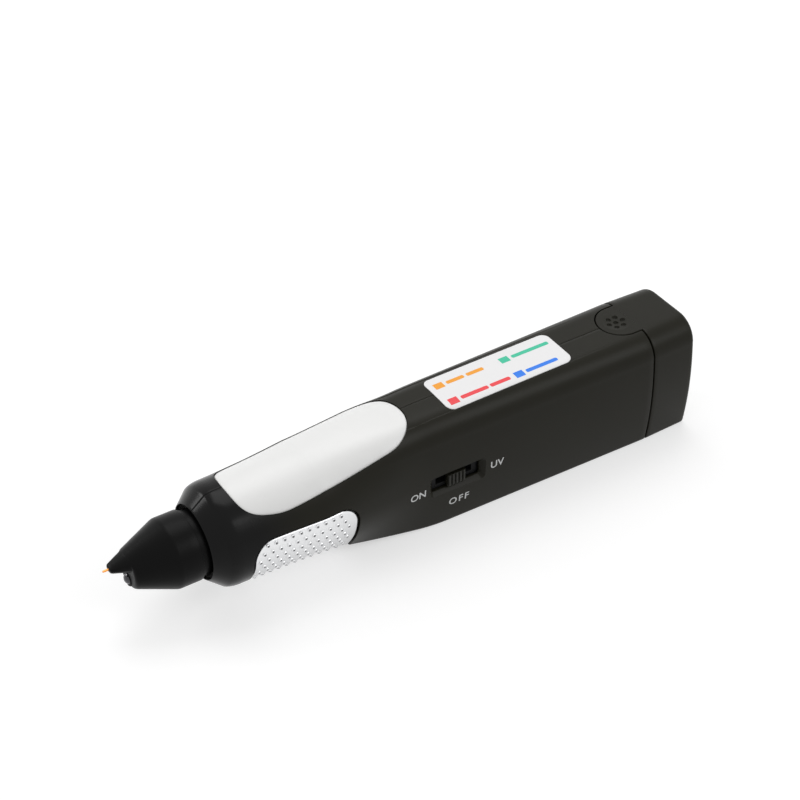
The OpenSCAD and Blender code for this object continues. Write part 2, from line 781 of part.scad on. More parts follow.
// Return spring: a helix of wire between the shoulder and the carrier
module probe_spring() {
    ring_r = shoulder_r - spring_wire / 2;
    steps = 12 * spring_turns;
    run = spring_l - spring_wire - 2 * fit;
    helix = [for (i = [0 : steps]) let (a = 360 * spring_turns * i / steps)
        [spring_x0 + spring_wire / 2 + fit + run * i / steps, ring_r * cos(a), probe_z + ring_r * sin(a)]];
    color([0.75, 0.76, 0.78]) tube(helix, spring_wire / 2, 6, [1, 0, 0]);
}

module probe_carrier() {
    guide_r = shoulder_r + 2 * fit;
    color([0.3, 0.3, 0.32]) difference() {
        union() {
            along_x(carrier_x, nose_z) cylinder(r = hollow_r - fit, h = carrier_l);
            along_x(hollow_x + fit, probe_z) cylinder(r = guide_r + carrier_wall, h = carrier_x - hollow_x);
        }
        along_x(hollow_x - eps, probe_z) cylinder(r = guide_r, h = carrier_x - hollow_x + eps);
        along_x(carrier_x - eps, probe_z) cylinder(r = bead_r + 2 * fit, h = far);
        along_x(carrier_x - eps, lamp_z) cylinder(r = lamp_r, h = far);
    }
}

module uv_lamp() {
    dome_x = x_step + lamp_r - lamp_out;
    color([0.12, 0.1, 0.16]) union() {
        along_x(dome_x, lamp_z) cylinder(r = lamp_r, h = x_step + lamp_l - dome_x);
        translate([dome_x, 0, lamp_z]) sphere(lamp_r);
        along_x(x_step + lamp_l, lamp_z) cylinder(r = lamp_flange_r, h = lamp_flange_l);
    }
}

// Wires: routes from the nose and from the battery to the board
lead_r = 0.3;
lead_step = 1;
wire_z = board_top + lead_r + fit / 2;
lamp_wire_y = [0.7, 1.2, 1.6];
probe_wire_y = [2.4, 2.6, 3.4, 4.2, 4.6];
battery_wire_y = [2.5, 2.7, 3];
module lead(path, side) {
    tube([for (p = path) [p[0], side * p[1], p[2]]], lead_r, 8, [0, 1, 0]);
}
module lamp_leads() {
    x0 = x_step + lamp_l + lamp_flange_l;
    y = lamp_wire_y;
    color([0.7, 0.7, 0.72]) for (side = [-1, 1]) lead([
        [x0 + fit, y[0], lamp_z], [carrier_x, y[0], lamp_z], [x_handle + 2 * lead_step, y[0], lamp_z],
        [board_x0 - 2 * lead_step, y[1], mix(lamp_z, wire_z, 0.5)],
        [board_x0 + lead_step, y[2], wire_z], [board_x0 + 3 * lead_step, y[2], wire_z]
    ], side);
}
module probe_leads() {
    x0 = carrier_x + carrier_l;
    y = probe_wire_y;
    color([0.8, 0.15, 0.12]) for (side = [-1, 1]) lead([
        [x0 + fit, y[0], probe_z], [x0 + 3 * lead_step, y[1], probe_z],
        [x_handle + 2 * lead_step, y[2], probe_z - lead_step],
        [board_x0 - 2 * lead_step, y[3], mix(probe_z, wire_z, 0.7)],
        [board_x0 + lead_step, y[4], wire_z], [board_x0 + 4 * lead_step, y[4], wire_z]
    ], side);
}
module battery_leads() {
    x1 = bulkhead_x + rib_t;
    y = battery_wire_y;
    color([0.1, 0.1, 0.1]) for (side = [-1, 1]) lead([
        [x1 - fit, y[0], battery_z + lead_step], [x1 - 2 * lead_step, y[0], battery_z + lead_step / 2],
        [board_x1 - lead_step / 2, y[1], wire_z + lead_step],
        [board_x1 - 2 * lead_step, y[2], wire_z], [board_x1 - 5 * lead_step, y[2], wire_z]
    ], side);
}

module main_board() {
    color([0.1, 0.35, 0.2]) translate([board_x0, -board_w / 2, board_top - board_t])
        cube([board_l, board_w, board_t]);
}

// Lamps under the window, evenly spaced between the board's ribs
parts_x = rib_x[0] + rib_t + 4;
module indicator_lamps() {
    step = (rib_x[1] - parts_x - indicator_w - boss_gap) / (indicator_count - 1);
    color([0.95, 0.93, 0.8]) for (i = [0 : indicator_count - 1])
        translate([parts_x + step * i, -indicator_w / 2, board_top])
            cube([indicator_w, indicator_w, indicator_h]);
}

module control_chip() {
    color([0.15, 0.15, 0.16]) translate([x_flare - chip_w / 2, -chip_w / 2, board_top - board_t - chip_h])
        cube([chip_w, chip_w, chip_h]);
}

// Resistors and capacitors in a row along each side of the board
part_size = [2, 1.2, 0.7];
part_rows = 6;
module chip_parts() {
    row_y = rib_y - part_size[1] - boss_gap;
    color([0.55, 0.42, 0.3]) for (i = [0 : part_rows - 1], side = [0, 1])
        mirror([0, side, 0]) translate([parts_x + part_pitch * i, row_y, board_top]) cube(part_size);
}

module buzzer() {
    color([0.1, 0.1, 0.1]) translate([switch_x - switch_l / 2 - buzzer_r, 0, board_top]) difference() {
        cylinder(r = buzzer_r, h = buzzer_h);
        translate([0, 0, buzzer_h - boss_gap]) cylinder(r = buzzer_r / 5, h = far);
    }
}

// Sprung pin that joins the grip plate to the board, through the case's seam
contact_x = x_handle + grip_set + grip_l / 2;
contact_z = nose_z - round_r(contact_x) + grip_sink + grip_t + fit;
contact_r = 1.2;
module grip_contact() {
    barrel_z = contact_z + handle_wall + eps;
    color([0.85, 0.7, 0.3]) translate([contact_x, 0, 0]) union() {
        translate([0, 0, contact_z]) cylinder(r = contact_r / 2, h = barrel_z - contact_z + eps);
        translate([0, 0, barrel_z]) cylinder(r = contact_r, h = board_top - board_t - barrel_z);
    }
}

// Switch: a body on the board's edge with a channel for its slider
switch_y = side_y(half_w(switch_x - switch_l / 2), board_top) - case_wall - fit;
knob_y = switch_y + 1.5 * fit;
module slide_switch() {
    channel_l = post_l + 2 * switch_throw + 4 * fit;
    channel_h = post_h + 2 * fit;
    color([0.6, 0.6, 0.62]) difference() {
        translate([switch_x - switch_l / 2, -switch_y, board_top]) cube([switch_l, switch_d, switch_h]);
        translate([switch_x - channel_l / 2, -switch_y - eps, switch_z - channel_h / 2])
            cube([channel_l, eps + post_d + 2 * fit, channel_h]);
    }
}

module switch_slider() {
    color([0.1, 0.1, 0.1]) translate([switch_x - post_l / 2, -knob_y, switch_z - post_h / 2])
        cube([post_l, post_d + knob_y - switch_y, post_h]);
}

module switch_knob() {
    knob_top = slot_y - knob_sink;
    groove_count = 4;
    groove_w = 0.5;
    groove_d = 0.4;
    color([0.13, 0.13, 0.12]) translate([switch_x, -knob_top, switch_z]) difference() {
        translate([-knob_l / 2, 0, -knob_h / 2]) cube([knob_l, knob_top - knob_y, knob_h]);
        for (i = [1 : groove_count])
            translate([knob_l * (i / (groove_count + 1) - 0.5) - groove_w / 2, -eps, -knob_h])
                cube([groove_w, eps + groove_d, 2 * knob_h]);
    }
}

module battery() {
    color([0.35, 0.36, 0.4]) union() {
        along_x(battery_x0, battery_z) linear_extrude(battery_l) round_rect(battery_h, battery_t, battery_r);
        along_x(snap_x1, battery_z + terminal_pitch / 2) cylinder(r = plus_r, h = terminal_l + eps);
        along_x(snap_x1, battery_z - terminal_pitch / 2) cylinder(r = minus_r, h = terminal_l + eps, $fn = 6);
    }
}

module battery_snap() {
    color([0.12, 0.12, 0.12]) translate([snap_x1 - snap_t, -snap_w / 2, battery_z - battery_h / 2 + eps])
        cube([snap_t, snap_w, battery_h - 2 * eps]);
}

module case_screws() {
    cross_l = 1.2 * head_r;
    cross_w = 0.5;
    cross_d = 0.6;
    color([0.7, 0.71, 0.73]) for (p = screw_at) translate([p[0], head_y, p[1]]) rotate([-90, 0, 0])
        difference() {
            union() {
                translate([0, 0, fit - screw_l]) cylinder(r = screw_r - fit / 2, h = screw_l);
                translate([0, 0, fit]) cylinder(r = head_r, h = head_l);
            }
            translate([0, 0, head_l + fit]) {
                cube([cross_l, cross_w, 2 * cross_d], center = true);
                cube([cross_w, cross_l, 2 * cross_d], center = true);
            }
        }
}

left_shell();
right_shell();
battery_cover();
light_window();
grip_plate();
legend_label();
nose_cone();
probe_pin();
probe_sleeve();
probe_spring();
probe_carrier();
thermistor();
uv_lamp();
lamp_leads();
probe_leads();
main_board();
indicator_lamps();
control_chip();
chip_parts();
buzzer();
grip_contact();
slide_switch();
switch_slider();
switch_knob();
battery();
battery_snap();
battery_leads();
case_screws();
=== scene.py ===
"""Dresses the gem tester pen in its case, window, grip, label, nose and switch, and sets its stage."""

import json
import math

import bmesh
import bpy
import numpy as np
from bpy.props import FloatProperty, FloatVectorProperty, IntProperty, PointerProperty
from bpy.types import Operator, Panel, PropertyGroup
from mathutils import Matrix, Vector


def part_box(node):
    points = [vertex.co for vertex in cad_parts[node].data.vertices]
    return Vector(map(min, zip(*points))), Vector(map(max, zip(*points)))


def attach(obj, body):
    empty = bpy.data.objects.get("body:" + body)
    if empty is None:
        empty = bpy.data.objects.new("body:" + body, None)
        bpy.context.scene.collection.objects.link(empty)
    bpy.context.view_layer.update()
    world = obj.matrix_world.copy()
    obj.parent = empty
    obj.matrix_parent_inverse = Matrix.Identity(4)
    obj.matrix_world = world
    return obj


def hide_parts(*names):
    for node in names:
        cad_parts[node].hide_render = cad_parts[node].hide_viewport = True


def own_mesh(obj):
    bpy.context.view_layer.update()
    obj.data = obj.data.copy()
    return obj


bl_info = {
    "name": "Gem tester pen",
    "version": (1, 0, 0),
    "blender": (4, 5, 0),
    "location": "View3D > Sidebar > Gem tester",
    "description": "Builds the pen's finished pieces on its construction frame, and a plain studio stage",
    "category": "Object",
}

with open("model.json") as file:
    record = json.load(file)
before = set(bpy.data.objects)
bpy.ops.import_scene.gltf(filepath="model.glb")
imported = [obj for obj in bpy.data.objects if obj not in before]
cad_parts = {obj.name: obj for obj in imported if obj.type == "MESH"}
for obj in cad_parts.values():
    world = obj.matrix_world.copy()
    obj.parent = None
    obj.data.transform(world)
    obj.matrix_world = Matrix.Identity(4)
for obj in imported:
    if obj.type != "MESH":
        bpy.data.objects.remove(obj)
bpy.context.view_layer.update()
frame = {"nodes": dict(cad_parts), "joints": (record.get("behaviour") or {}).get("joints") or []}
MM = 0.001
# Points closer than this become one point
WELD = 0.0005 * MM
# Edges that turn by more degrees than this stay sharp
SHARP = 35.0
# How far a cutter stands out of the case
CUT_OUT = 2 * MM
# Rings of points between the edge of a patch's lower face and its middle
BASE_RINGS = 8
# Rounded edge at the parting line: its length, and distances from the gap with the depth at each
PART_EDGE_L = 0.3 * MM
PART_EDGE = ((0.1 * MM, 0.05 * MM), (0.0, 0.2 * MM))
# Rays to which the floor and the room are plain white
WHITE_RAYS = ("Is Camera Ray", "Is Glossy Ray", "Is Transmission Ray")
# Colour of the painted shade on the case's front, where it is darkest: it stands in for the weaker light
# there
PAINTED_SHADE_BLACK = (0.0035, 0.0035, 0.0035)
# Switch legends: name, letters, place along the pen and height in millimetres, spacing of the letters
LEGENDS = (("on", "ON", -2.8, 12.85, 1.0), ("off", "OFF", 8.8, 6.6, 1.25), ("uv", "UV", 19.1, 13.15, 1.05))
# Middles of the label's two rows: their distance from the seam, towards the far side
LABEL_ROWS = {"far": 1.98 * MM, "near": -4.32 * MM}
# Label keys: name, row, start of the square, then start and length of each bar, in millimetres
LABEL_KEYS = (
    ("orange", "far", 1.5, ((4.8, 4.9), (10.4, 4.8))),
    ("red", "near", 1.4, ((4.7, 7.6), (12.9, 5.6))),
    ("green", "far", 20.0, ((23.3, 10.6),)),
    ("blue", "near", 19.9, ((23.1, 9.0),)),
)
# Length, width and corner of a key's square, and width and corner of its bars, in millimetres
KEY_SQUARE = (2.5, 2.05, 0.1)
KEY_BAR = (1.15, 0.4)
# Soft lights: name, place and side in metres, and the stage's value that holds their power
LIGHTS = (
    ("top_light", (0.16, 0.28, 0.72), 0.5, "key"),
    ("front_light", (0.34, -0.48, 0.5), 0.35, "front"),
    ("nose_light", (-0.4, 0.46, 0.35), 0.24, "side"),
)


def length(name, mm, text):
    """A length property, given in millimetres and held in metres."""
    return FloatProperty(name=name, description=text, default=mm * MM, unit="LENGTH", precision=5)


def colour(name, rgb, text):
    """A colour property in linear light."""
    return FloatVectorProperty(name=name, description=text, default=rgb, size=3, min=0.0, max=1.0,
                               subtype="COLOR")


def ramped(value, start, end):
    """0 before start, 1 after end, and a straight change between."""
    return np.clip((value - start) / (end - start), 0, 1)


def eased(value, start, end):
    """The same with a smooth change."""
    t = ramped(value, start, end)
    return t * t * (3 - 2 * t)


class PenForm(PropertyGroup):
    """Sizes of the case, the nose and what is set into them."""

    probe_out: length("Probe", 1.4, "Probe pin beyond the tip of the nose")
    finger_l: length("Finger", 4.2, "Finger that carries the probe, from the lamp step to its tip")
    cone_l: length("Cone", 9.5, "Cone from the barrel to the lamp step")
    barrel_l: length("Barrel", 7, "Bare barrel between the cone and the collar")
    collar_l: length("Collar", 6, "Rounded collar at the front of the case")
    handle_l: length("Handle", 22, "Round handle behind the collar")
    flare_l: length("Flare", 30, "Stretch where the round handle turns into the square case")
    case_l: length("Case", 61.8, "Square case up to the battery cover")
    cover_l: length("Cover", 12.8, "Battery cover")
    case_h: length("Case height", 31, "Height of the square case")
    case_w: length("Case width", 23.9, "Width of the square case at the battery cover")
    case_front_w: length("Case front width", 21.3, "Width of the square case where the flare ends")
    cover_taper: length("Cover taper", 0.8, "Width that the battery cover loses towards its rear face")
    top_r: length("Top edge radius", 6.2, "Radius of the long edges along the top")
    foot_r: length("Foot radius", 1.3, "Radius of the long edges along the underside")
    foot_trim: length("Foot trim", 0.2, "Material trimmed off so that the underside is flat")
    crown_z: length("Crown height", 15, "Height at which the sides are widest")
    side_in: length("Side draw", 1.2, "How far each side draws in towards the underside")
    rear_r: length("Rear edge radius", 1.2, "Rounding of the rear face's edge")
    nose_z: length("Nose height", 16.4, "Height of the nose's axis above the underside")
    collar_r: length("Collar radius", 12.5, "Outer radius of the collar and of the handle's front")
    collar_cone_l: length("Collar cone", 3.3, "Conical front of the collar")
    collar_cone_rise: length("Collar cone rise", 2.92, "How much the collar's conical front widens")
    handle_r: length("Handle radius", 13.2, "Outer radius of the handle where the flare starts")
    ease_l: length("Flare easing", 4, "Length over which the flare's ends are rounded")
    flare_bow: FloatProperty(name="Flare bow", description="How much fuller the flare is than a straight one",
                             default=0.3, min=0.0, max=0.4)
    handle_wall: length("Handle wall", 2.4, "Wall of the round handle")
    case_wall: length("Case wall", 1.6, "Wall of the square case and of the battery cover")
    seam_w: length("Seam", 0.34, "Width of the line where the two halves of the case meet")
    barrel_r: length("Barrel radius", 8.4, "Outer radius of the barrel")
    nose_gap: length("Nose groove", 0.6, "Groove between the barrel and the collar")
    groove_l: length("Groove depth", 1.6, "Depth of that groove")
    lip_l: length("Collar lip", 1.6, "Thickness of the collar's lip that holds the nose")
    neck_l: length("Neck", 1.6, "Narrow neck of the barrel in front of the collar")
    neck_in: length("Neck depth", 0.6, "How much thinner the barrel is there")
    spigot_in: length("Spigot", 0.3, "How much thinner the nose is inside the collar")
    flange_r: length("Flange radius", 10.6, "Radius of the flange that holds the nose")
    step_r: length("Step radius", 4.56, "Cone's radius at the lamp step")
    probe_up: length("Probe height", 2.2, "Height of the probe's axis above the nose's axis")
    finger_r: length("Finger radius", 3, "Finger's radius at the lamp step")
    finger_tip_r: length("Finger tip radius", 1.25, "Finger's radius at its tip")
    lamp_down: length("Lamp depth", 2.65, "Height of the lamp's axis below the nose's axis")
    lamp_r: length("Lamp radius", 1.5, "Lamp's radius")
    pin_r: length("Pin radius", 0.26, "Radius of the copper pin")
    run_fit: length("Pin fit", 0.04, "Running fit round the pin")
    spring_wire: length("Spring wire", 0.36, "Thickness of the probe spring's wire")
    spring_turns: IntProperty(name="Spring turns", description="Turns of the probe's spring", default=5,
                              min=3)
    fit: length("Fit", 0.1, "Loose fit between pieces that are laid or clipped together")
    window_l: length("Window length", 46.55, "Length of the window")
    window_w: length("Window width", 19.7, "Width of the window at its widest")
    window_front_w: length("Window front width", 17.3, "Width of the window over its front corners")
    window_rear_w: length("Window rear width", 17.6, "Width of the window where its rear end starts to round")
    window_corner_r: length("Window corners", 4.2, "Radius of the window's front corners")
    window_rear_r: length("Window rear", 8.4, "Radius of the window's rear end")
    window_side_r: length("Window sides", 9, "Radius to which the window's sides are drawn")
    window_bow: length("Window bow", 0.5, "How far the window's front edge bows out between its corners")
    window_wide_set: length("Window widest place", 10.5, "Distance from its front to where it is widest")
    window_wide_l: length("Window widest length", 8.5, "Length over which the window stays at its widest")
    window_set: length("Window place", 1.8, "Distance from the collar to the window")
    window_t: length("Window thickness", 1.2, "Thickness of the window")
    window_sink: length("Window depth", 0.22, "Depth of the window's face below the case")
    window_off: length("Window offset", 0.3, "How far the window sits off the seam, on the switch's side")
    window_edge: length("Window edge", 0.25, "Rounding of the window's edge")
    grip_l: length("Grip length", 26.9, "Length of the grip plate")
    grip_set: length("Grip place", 2.7, "Distance from the collar to the grip plate")
    grip_up: length("Grip height", 3.5, "Height of the grip plate's top edge above the nose's axis")
    grip_corner_r: length("Grip corners", 5.3, "Radius of the grip plate's upper corners")
    grip_t: length("Grip thickness", 0.8, "Thickness of the grip plate")
    grip_sink: length("Grip depth", 0.2, "Depth of the grip plate's face below the case")
    grip_gap: length("Grip groove", 0.3, "Groove round the grip plate's place")
    grip_in: length("Grip margin", 0.25, "How far the grip plate stays inside its place")
    bump_pitch: length("Bump pitch", 2.06, "Distance between the bumps along a row")
    bump_r: length("Bump radius", 0.52, "Radius of a bump")
    bump_h: length("Bump height", 0.42, "Height of a bump")
    bump_x: length("First bump", 6.1, "Distance from the collar to the first bump of the top row")
    bump_front: length("Bump front margin", 1.3, "Bare stretch between the grip plate's front and its bumps")
    bump_rear: length("Bump rear margin", 1.9, "Bare stretch between the bumps and the grip plate's rear")
    bump_top: FloatProperty(name="Top row", description="Angle of the top row of bumps above the nose's axis",
                            default=math.radians(10.5), subtype="ANGLE")
    bump_rows: IntProperty(name="Bump rows", description="Rows of bumps round the handle", default=23, min=2)
    label_l: length("Label length", 35.4, "Length of the label")
    label_w: length("Label width", 12, "Width of the label")
    label_r: length("Label corners", 2, "Radius of the label's corners")
    label_set: length("Label place", 5.5, "Distance from the flare's end to the label")
    label_off: length("Label offset", 0.5, "How far the label sits off the seam")
    label_t: length("Label thickness", 0.15, "Thickness of the label")
    switch_set: length("Switch place", 5.4, "Distance from the flare's end to the middle of the switch")
    switch_z: length("Switch height", 13.3, "Height of the switch above the underside")
    slot_l: length("Slot length", 13, "Length of the switch slot")
    slot_h: length("Slot height", 3.8, "Height of the switch slot")
    slot_chamfer: length("Slot chamfer", 1.1, "Chamfer round the slot's mouth")
    knob_l: length("Knob length", 5, "Length of the knob")
    knob_h: length("Knob height", 3.2, "Height of the knob")
    knob_edge: length("Knob edge", 0.3, "Rounding of the knob's edges")
    knob_rib_d: length("Knob ribs' depth", 0.42, "Depth of the grooves between the knob's ribs")
    knob_ribs: IntProperty(name="Knob ribs", description="Ribs across the knob", default=5, min=1)
    legend_size: length("Legend size", 2.8, "Size of the switch legends' letters")
    tongue_w: length("Tongue width", 11.5, "Width of the cover's tongue")
    tongue_l: length("Tongue length", 8.2, "Length of the tongue in front of the cover")
    part_gap: length("Parting line", 0.35, "Gap along the parting line")
    dimple_ring: length("Dimple ring", 2, "Radius of the round of thumb dimples")
    dimple_r: length("Dimple radius", 0.5, "Radius of a thumb dimple")
    dimple_d: length("Dimple depth", 0.55, "Depth of the thumb dimples")
    dish_d: length("Dish depth", 0.3, "Depth of the thumb dish round the dimples")
    brow_d: length("Brow", 0.74, "How much fuller the upper side is round the window's rear half")
    crease_y: length("Deck edge", 6.6, "Distance from the seam to the crease along the top deck")
    crease_d: length("Deck step", 0.2, "Depth of the top deck's step at that crease")
    screw_head_r: length("Screw head", 1.9, "Radius of a screw's head")
    screw_head_y: length("Screw seat", 6, "Distance from the seam to a screw's head")
    boss_r: length("Screw boss", 2.6, "Radius of a screw boss")


class PenFinish(PropertyGroup):
    """Colours of the pen's finishes."""

    case_black: colour("Case", (0.0115, 0.0108, 0.0066), "Satin black plastic of the case")
    nose_black: colour("Nose", (0.0025, 0.0025, 0.0025), "Deep black plastic of the nose")
    window_white: colour("Window", (0.9, 0.9, 0.89), "Frosted plastic of the window")
    grip_silver: colour("Grip", (0.8, 0.805, 0.815), "Satin silver of the grip")
    # Bump tips: a painted dark reflection, not a colour of the plating
    bump_painted_dark: colour("Bump tips", (0.17, 0.17, 0.175), "Bump tips, painted dark, standing in for the dark reflection on each bump")
    label_white: colour("Label", (0.9, 0.895, 0.9), "White film of the label")
    legend_white: colour("Legends", (0.72, 0.73, 0.73), "White ink of the switch legends")
    key_orange: colour("Orange key", (1.0, 0.39, 0.015), "First key on the label")
    key_red: colour("Red key", (0.93, 0.045, 0.06), "Second key on the label")
    key_green: colour("Green key", (0.04, 0.6, 0.37), "Third key on the label")
    key_blue: colour("Blue key", (0.01, 0.22, 0.93), "Fourth key on the label")
    copper: colour("Copper", (0.9, 0.36, 0.1), "Bare copper of the probe")


class PenStage(PropertyGroup):
    """Camera, lights and backdrop."""

    azimuth: FloatProperty(name="Azimuth", description="Turn of the camera round the pen",
                           default=math.radians(-32.63), subtype="ANGLE")
    elevation: FloatProperty(name="Elevation", description="Height of the camera over the pen",
                             default=math.radians(38.42), subtype="ANGLE")
    distance: length("Distance", 451.16, "Distance from the camera to the point it looks at")
    aim: FloatVectorProperty(name="Aim", description="Point that the camera looks at", size=3, unit="LENGTH",
                             default=(0.53 * MM, 2.34 * MM, 31.18 * MM), precision=5)
    lens: FloatProperty(name="Lens", description="Focal length on a 36 mm sensor", default=88.37,
                        unit="CAMERA")
    floor: colour("Floor", (0.6, 0.6, 0.6), "Pale floor and backdrop")
    floor_glow: colour("Floor glow", (0.54, 0.54, 0.54), "White of the floor to the camera and reflections")
    far_glow: colour("Far glow", (0.72, 0.72, 0.72), "The same far from the pen, where the lights reach less")
    sky: FloatProperty(name="Room light", description="Strength of the even light of the room",
                       default=0.45, min=0.0)
    key: FloatProperty(name="Top light", description="Power of the soft light above the pen",
                       default=1.85, min=0.0, unit="POWER")
    front: FloatProperty(name="Front light", description="Power of the soft light in front of the switch",
                         default=1.2, min=0.0, unit="POWER")
    side: FloatProperty(name="Nose light", description="Power of the soft light beyond the nose",
                        default=1.0, min=0.0, unit="POWER")


class CaseSkin:
    """Outer form of the case: its section at any place along the pen, set in by any depth."""

    def __init__(self, form):
        self.form = form
        steps = (form.probe_out, form.finger_l, form.cone_l, form.barrel_l, form.collar_l, form.handle_l,
                 form.flare_l, form.case_l, form.cover_l)
        places = np.concatenate(([0.0], np.cumsum(steps))) - sum(steps) / 2
        (self.x_tip, self.x_finger, self.x_step, self.x_barrel, self.x_collar, self.x_handle, self.x_flare,
         self.x_case, self.x_cover, self.x_rear) = [float(x) for x in places]
        self.kept = {}

    def squareness(self, x):
        """0 on the round handle, 1 on the square case."""
        ease = self.form.ease_l / self.form.flare_l
        t = (x - self.x_flare) / self.form.flare_l
        if t <= -ease:
            return 0.0
        if t >= 1 + ease:
            return 1.0
        if t < ease:
            t = (t + ease) ** 2 / (4 * ease)
        elif t > 1 - ease:
            t = 1 - (1 + ease - t) ** 2 / (4 * ease)
        return t + self.form.flare_bow * t * (1 - t)

    def round_r(self, x):
        """Radius of the round handle, which widens towards the flare."""
        share = ramped(x, self.x_handle, self.x_flare)
        return self.form.collar_r + (self.form.handle_r - self.form.collar_r) * share ** 2

    def half_w(self, x):
        """Half width of the square case or of the battery cover."""
        f = self.form
        if x <= self.x_cover:
            return (f.case_front_w + (f.case_w - f.case_front_w) * (x - self.x_case) / f.case_l) / 2
        return (f.case_w - f.cover_taper * (x - self.x_cover) / f.cover_l) / 2

    def wall(self, x):
        """Thickness of the case's wall."""
        return self.form.handle_wall + (self.form.case_wall - self.form.handle_wall) * self.squareness(x)

    def square_half(self, w, depth, fine):
        """Half outline of the square case, from the middle of the top to the middle of the underside."""
        f = self.form
        n_top, n_edge, n_side, n_foot, n_base = (8, 90, 90, 12, 8) if fine else (6, 20, 26, 5, 6)
        least_r = 0.3 * MM

        def side(z):
            return w - f.side_in * ((z - f.crown_z) / f.crown_z) ** 2

        z_edge = f.case_h - f.top_r
        y_edge = side(z_edge) - f.top_r
        r_edge = f.top_r - depth
        r_foot = max(f.foot_r - depth, least_r)
        base = depth - f.foot_trim
        z_foot = base + r_foot
        y_foot = side(z_foot) - depth - r_foot
        edge = np.linspace(0, math.pi / 2, n_edge + 1)
        if not fine:
            by_crease = f.crease_y + MM * np.array((-0.3, -0.16, -0.05, 0.05, 0.16, 0.3))
            lines = np.clip((by_crease - y_edge) / f.top_r, 0.01, 0.95)
            edge = np.sort(np.concatenate((edge, np.arcsin(lines))))
        foot = np.linspace(0, math.pi / 2, n_foot + 1)
        z_side = np.linspace(z_edge, z_foot, n_side + 1)[1:-1]
        y = np.concatenate((y_edge * np.arange(n_top) / n_top, y_edge + r_edge * np.sin(edge),
                            side(z_side) - depth, y_foot + r_foot * np.cos(foot),
                            y_foot * (1 - np.arange(1, n_base + 1) / n_base)))
        z = np.concatenate((np.full(n_top, f.case_h - depth), z_edge + r_edge * np.cos(edge), z_side,
                            z_foot - r_foot * np.sin(foot), np.full(n_base, base)))
        return y, z

    def brow(self, x, angle):
        """How much fuller the upper side is, at a place along the pen and an angle about its axis."""
        start, full, lower, end = (self.x_handle + at * MM for at in (-2.75, 33.25, 37.25, 50.25))
        rise, fall = eased(x, start, full), eased(x, lower, end)
        return self.form.brow_d * rise * (1 - fall) * eased(angle, 0.0, math.pi / 4)

    def crease(self, x, y):
        """How far the top deck lies below the rounded edge, from the window's end to the battery cover."""
        f = self.form
        half_step = 0.15 * MM
        x_end = self.x_cover - 6 * MM
        start = ramped(x, self.x_case - 8 * MM, self.x_case - 4 * MM)
        end = ramped(x, x_end, x_end - 0.75 * f.case_l)
        inside = eased(f.crease_y - np.abs(y), -half_step, half_step)
        fall = ramped(np.abs(y), 0.35 * f.crease_y, f.crease_y)
        return f.crease_d * start * end * inside * fall

    def section(self, x, depth=0.0, fine=False):
        """Half section at x, drawn from the square outline towards the round handle."""
        key = (round(x, 8), round(depth, 8), fine)
        if key not in self.kept:
            share, r = self.squareness(x), self.round_r(x) - depth
            y, z = self.square_half(self.half_w(x), depth, fine)
            angle = np.arctan2(z - self.form.nose_z, y)
            brow = self.brow(x, angle)
            y = (1 - share) * r * np.cos(angle) + share * y + brow * np.cos(angle)
            z = (1 - share) * (self.form.nose_z + r * np.sin(angle)) + share * z + brow * np.sin(angle)
            z -= self.crease(x, y) * (z > self.form.nose_z)
            self.kept[key] = (y, np.maximum(z, max(depth, 0.0)))
        return self.kept[key]

    def on_top(self, points, depth):
        """Points of a plan, laid on the upper side."""
        out = np.empty((len(points), 3))
        for i, (x, y) in enumerate(points):
            ys, zs = self.section(x, depth, True)
            last = int(np.argmax(ys)) + 1
            out[i] = x, y, np.interp(abs(y), ys[:last], zs[:last])
        return out

    def on_side(self, x, z, depth):
        """Half width at a height."""
        ys, zs = self.section(x, depth, True)
        return float(np.interp(z, zs[::-1], ys[::-1]))

    def around(self, x, angle, depth):
        """Point at an angle about the nose's axis, past the underside to the other side too."""
        side = 1.0
        if angle < -math.pi / 2:
            angle, side = -math.pi - angle, -1.0
        ys, zs = self.section(x, depth, True)
        angles = np.arctan2(zs - self.form.nose_z, ys)
        reach = np.interp(angle, angles[::-1], np.hypot(ys, zs - self.form.nose_z)[::-1])
        return side * reach * math.cos(angle), self.form.nose_z + reach * math.sin(angle)


def pen(context):
    """The sizes, the finishes and the case's skin."""
    form = context.scene.pen_form
    return form, context.scene.pen_finish, CaseSkin(form)


def new_piece(name, verts, faces, smooth=SHARP):
    """An object from points and faces, with doubles merged, faces turned out and edges kept sharp."""
    mesh = bpy.data.meshes.new(name)
    mesh.from_pydata([tuple(v) for v in verts], [], [tuple(f) for f in faces])
    work = bmesh.new()
    work.from_mesh(mesh)
    bmesh.ops.remove_doubles(work, verts=work.verts, dist=WELD)
    bmesh.ops.dissolve_degenerate(work, edges=work.edges, dist=0.4 * WELD)
    bmesh.ops.recalc_face_normals(work, faces=work.faces)
    work.to_mesh(mesh)
    work.free()
    piece = bpy.data.objects.new(name, mesh)
    bpy.context.scene.collection.objects.link(piece)
    shade(piece, smooth)
    return piece


def shade(piece, angle=SHARP):
    """Smooth faces, with edges over an angle kept sharp."""
    piece.data.shade_smooth()
    piece.data.set_sharp_from_angle(angle=math.radians(angle))


def settle(piece):
    """Makes a piece's modifiers part of its mesh."""
    graph = bpy.context.evaluated_depsgraph_get()
    mesh = bpy.data.meshes.new_from_object(piece.evaluated_get(graph))
    old = piece.data
    piece.modifiers.clear()
    piece.data = mesh
    mesh.name = piece.name
    bpy.data.meshes.remove(old)


def carve(piece, cutters, operation="DIFFERENCE"):
    """Cuts or adds solids, which are used up."""
    for cutter in cutters:
        step = piece.modifiers.new("carve", "BOOLEAN")
        step.operation = operation
        step.solver = "EXACT"
        step.object = cutter
    settle(piece)
    for cutter in cutters:
        mesh = cutter.data
        bpy.data.objects.remove(cutter)
        bpy.data.meshes.remove(mesh)
    if not piece.data.polygons:
        raise RuntimeError(piece.name + " was cut away altogether")
    shade(piece)


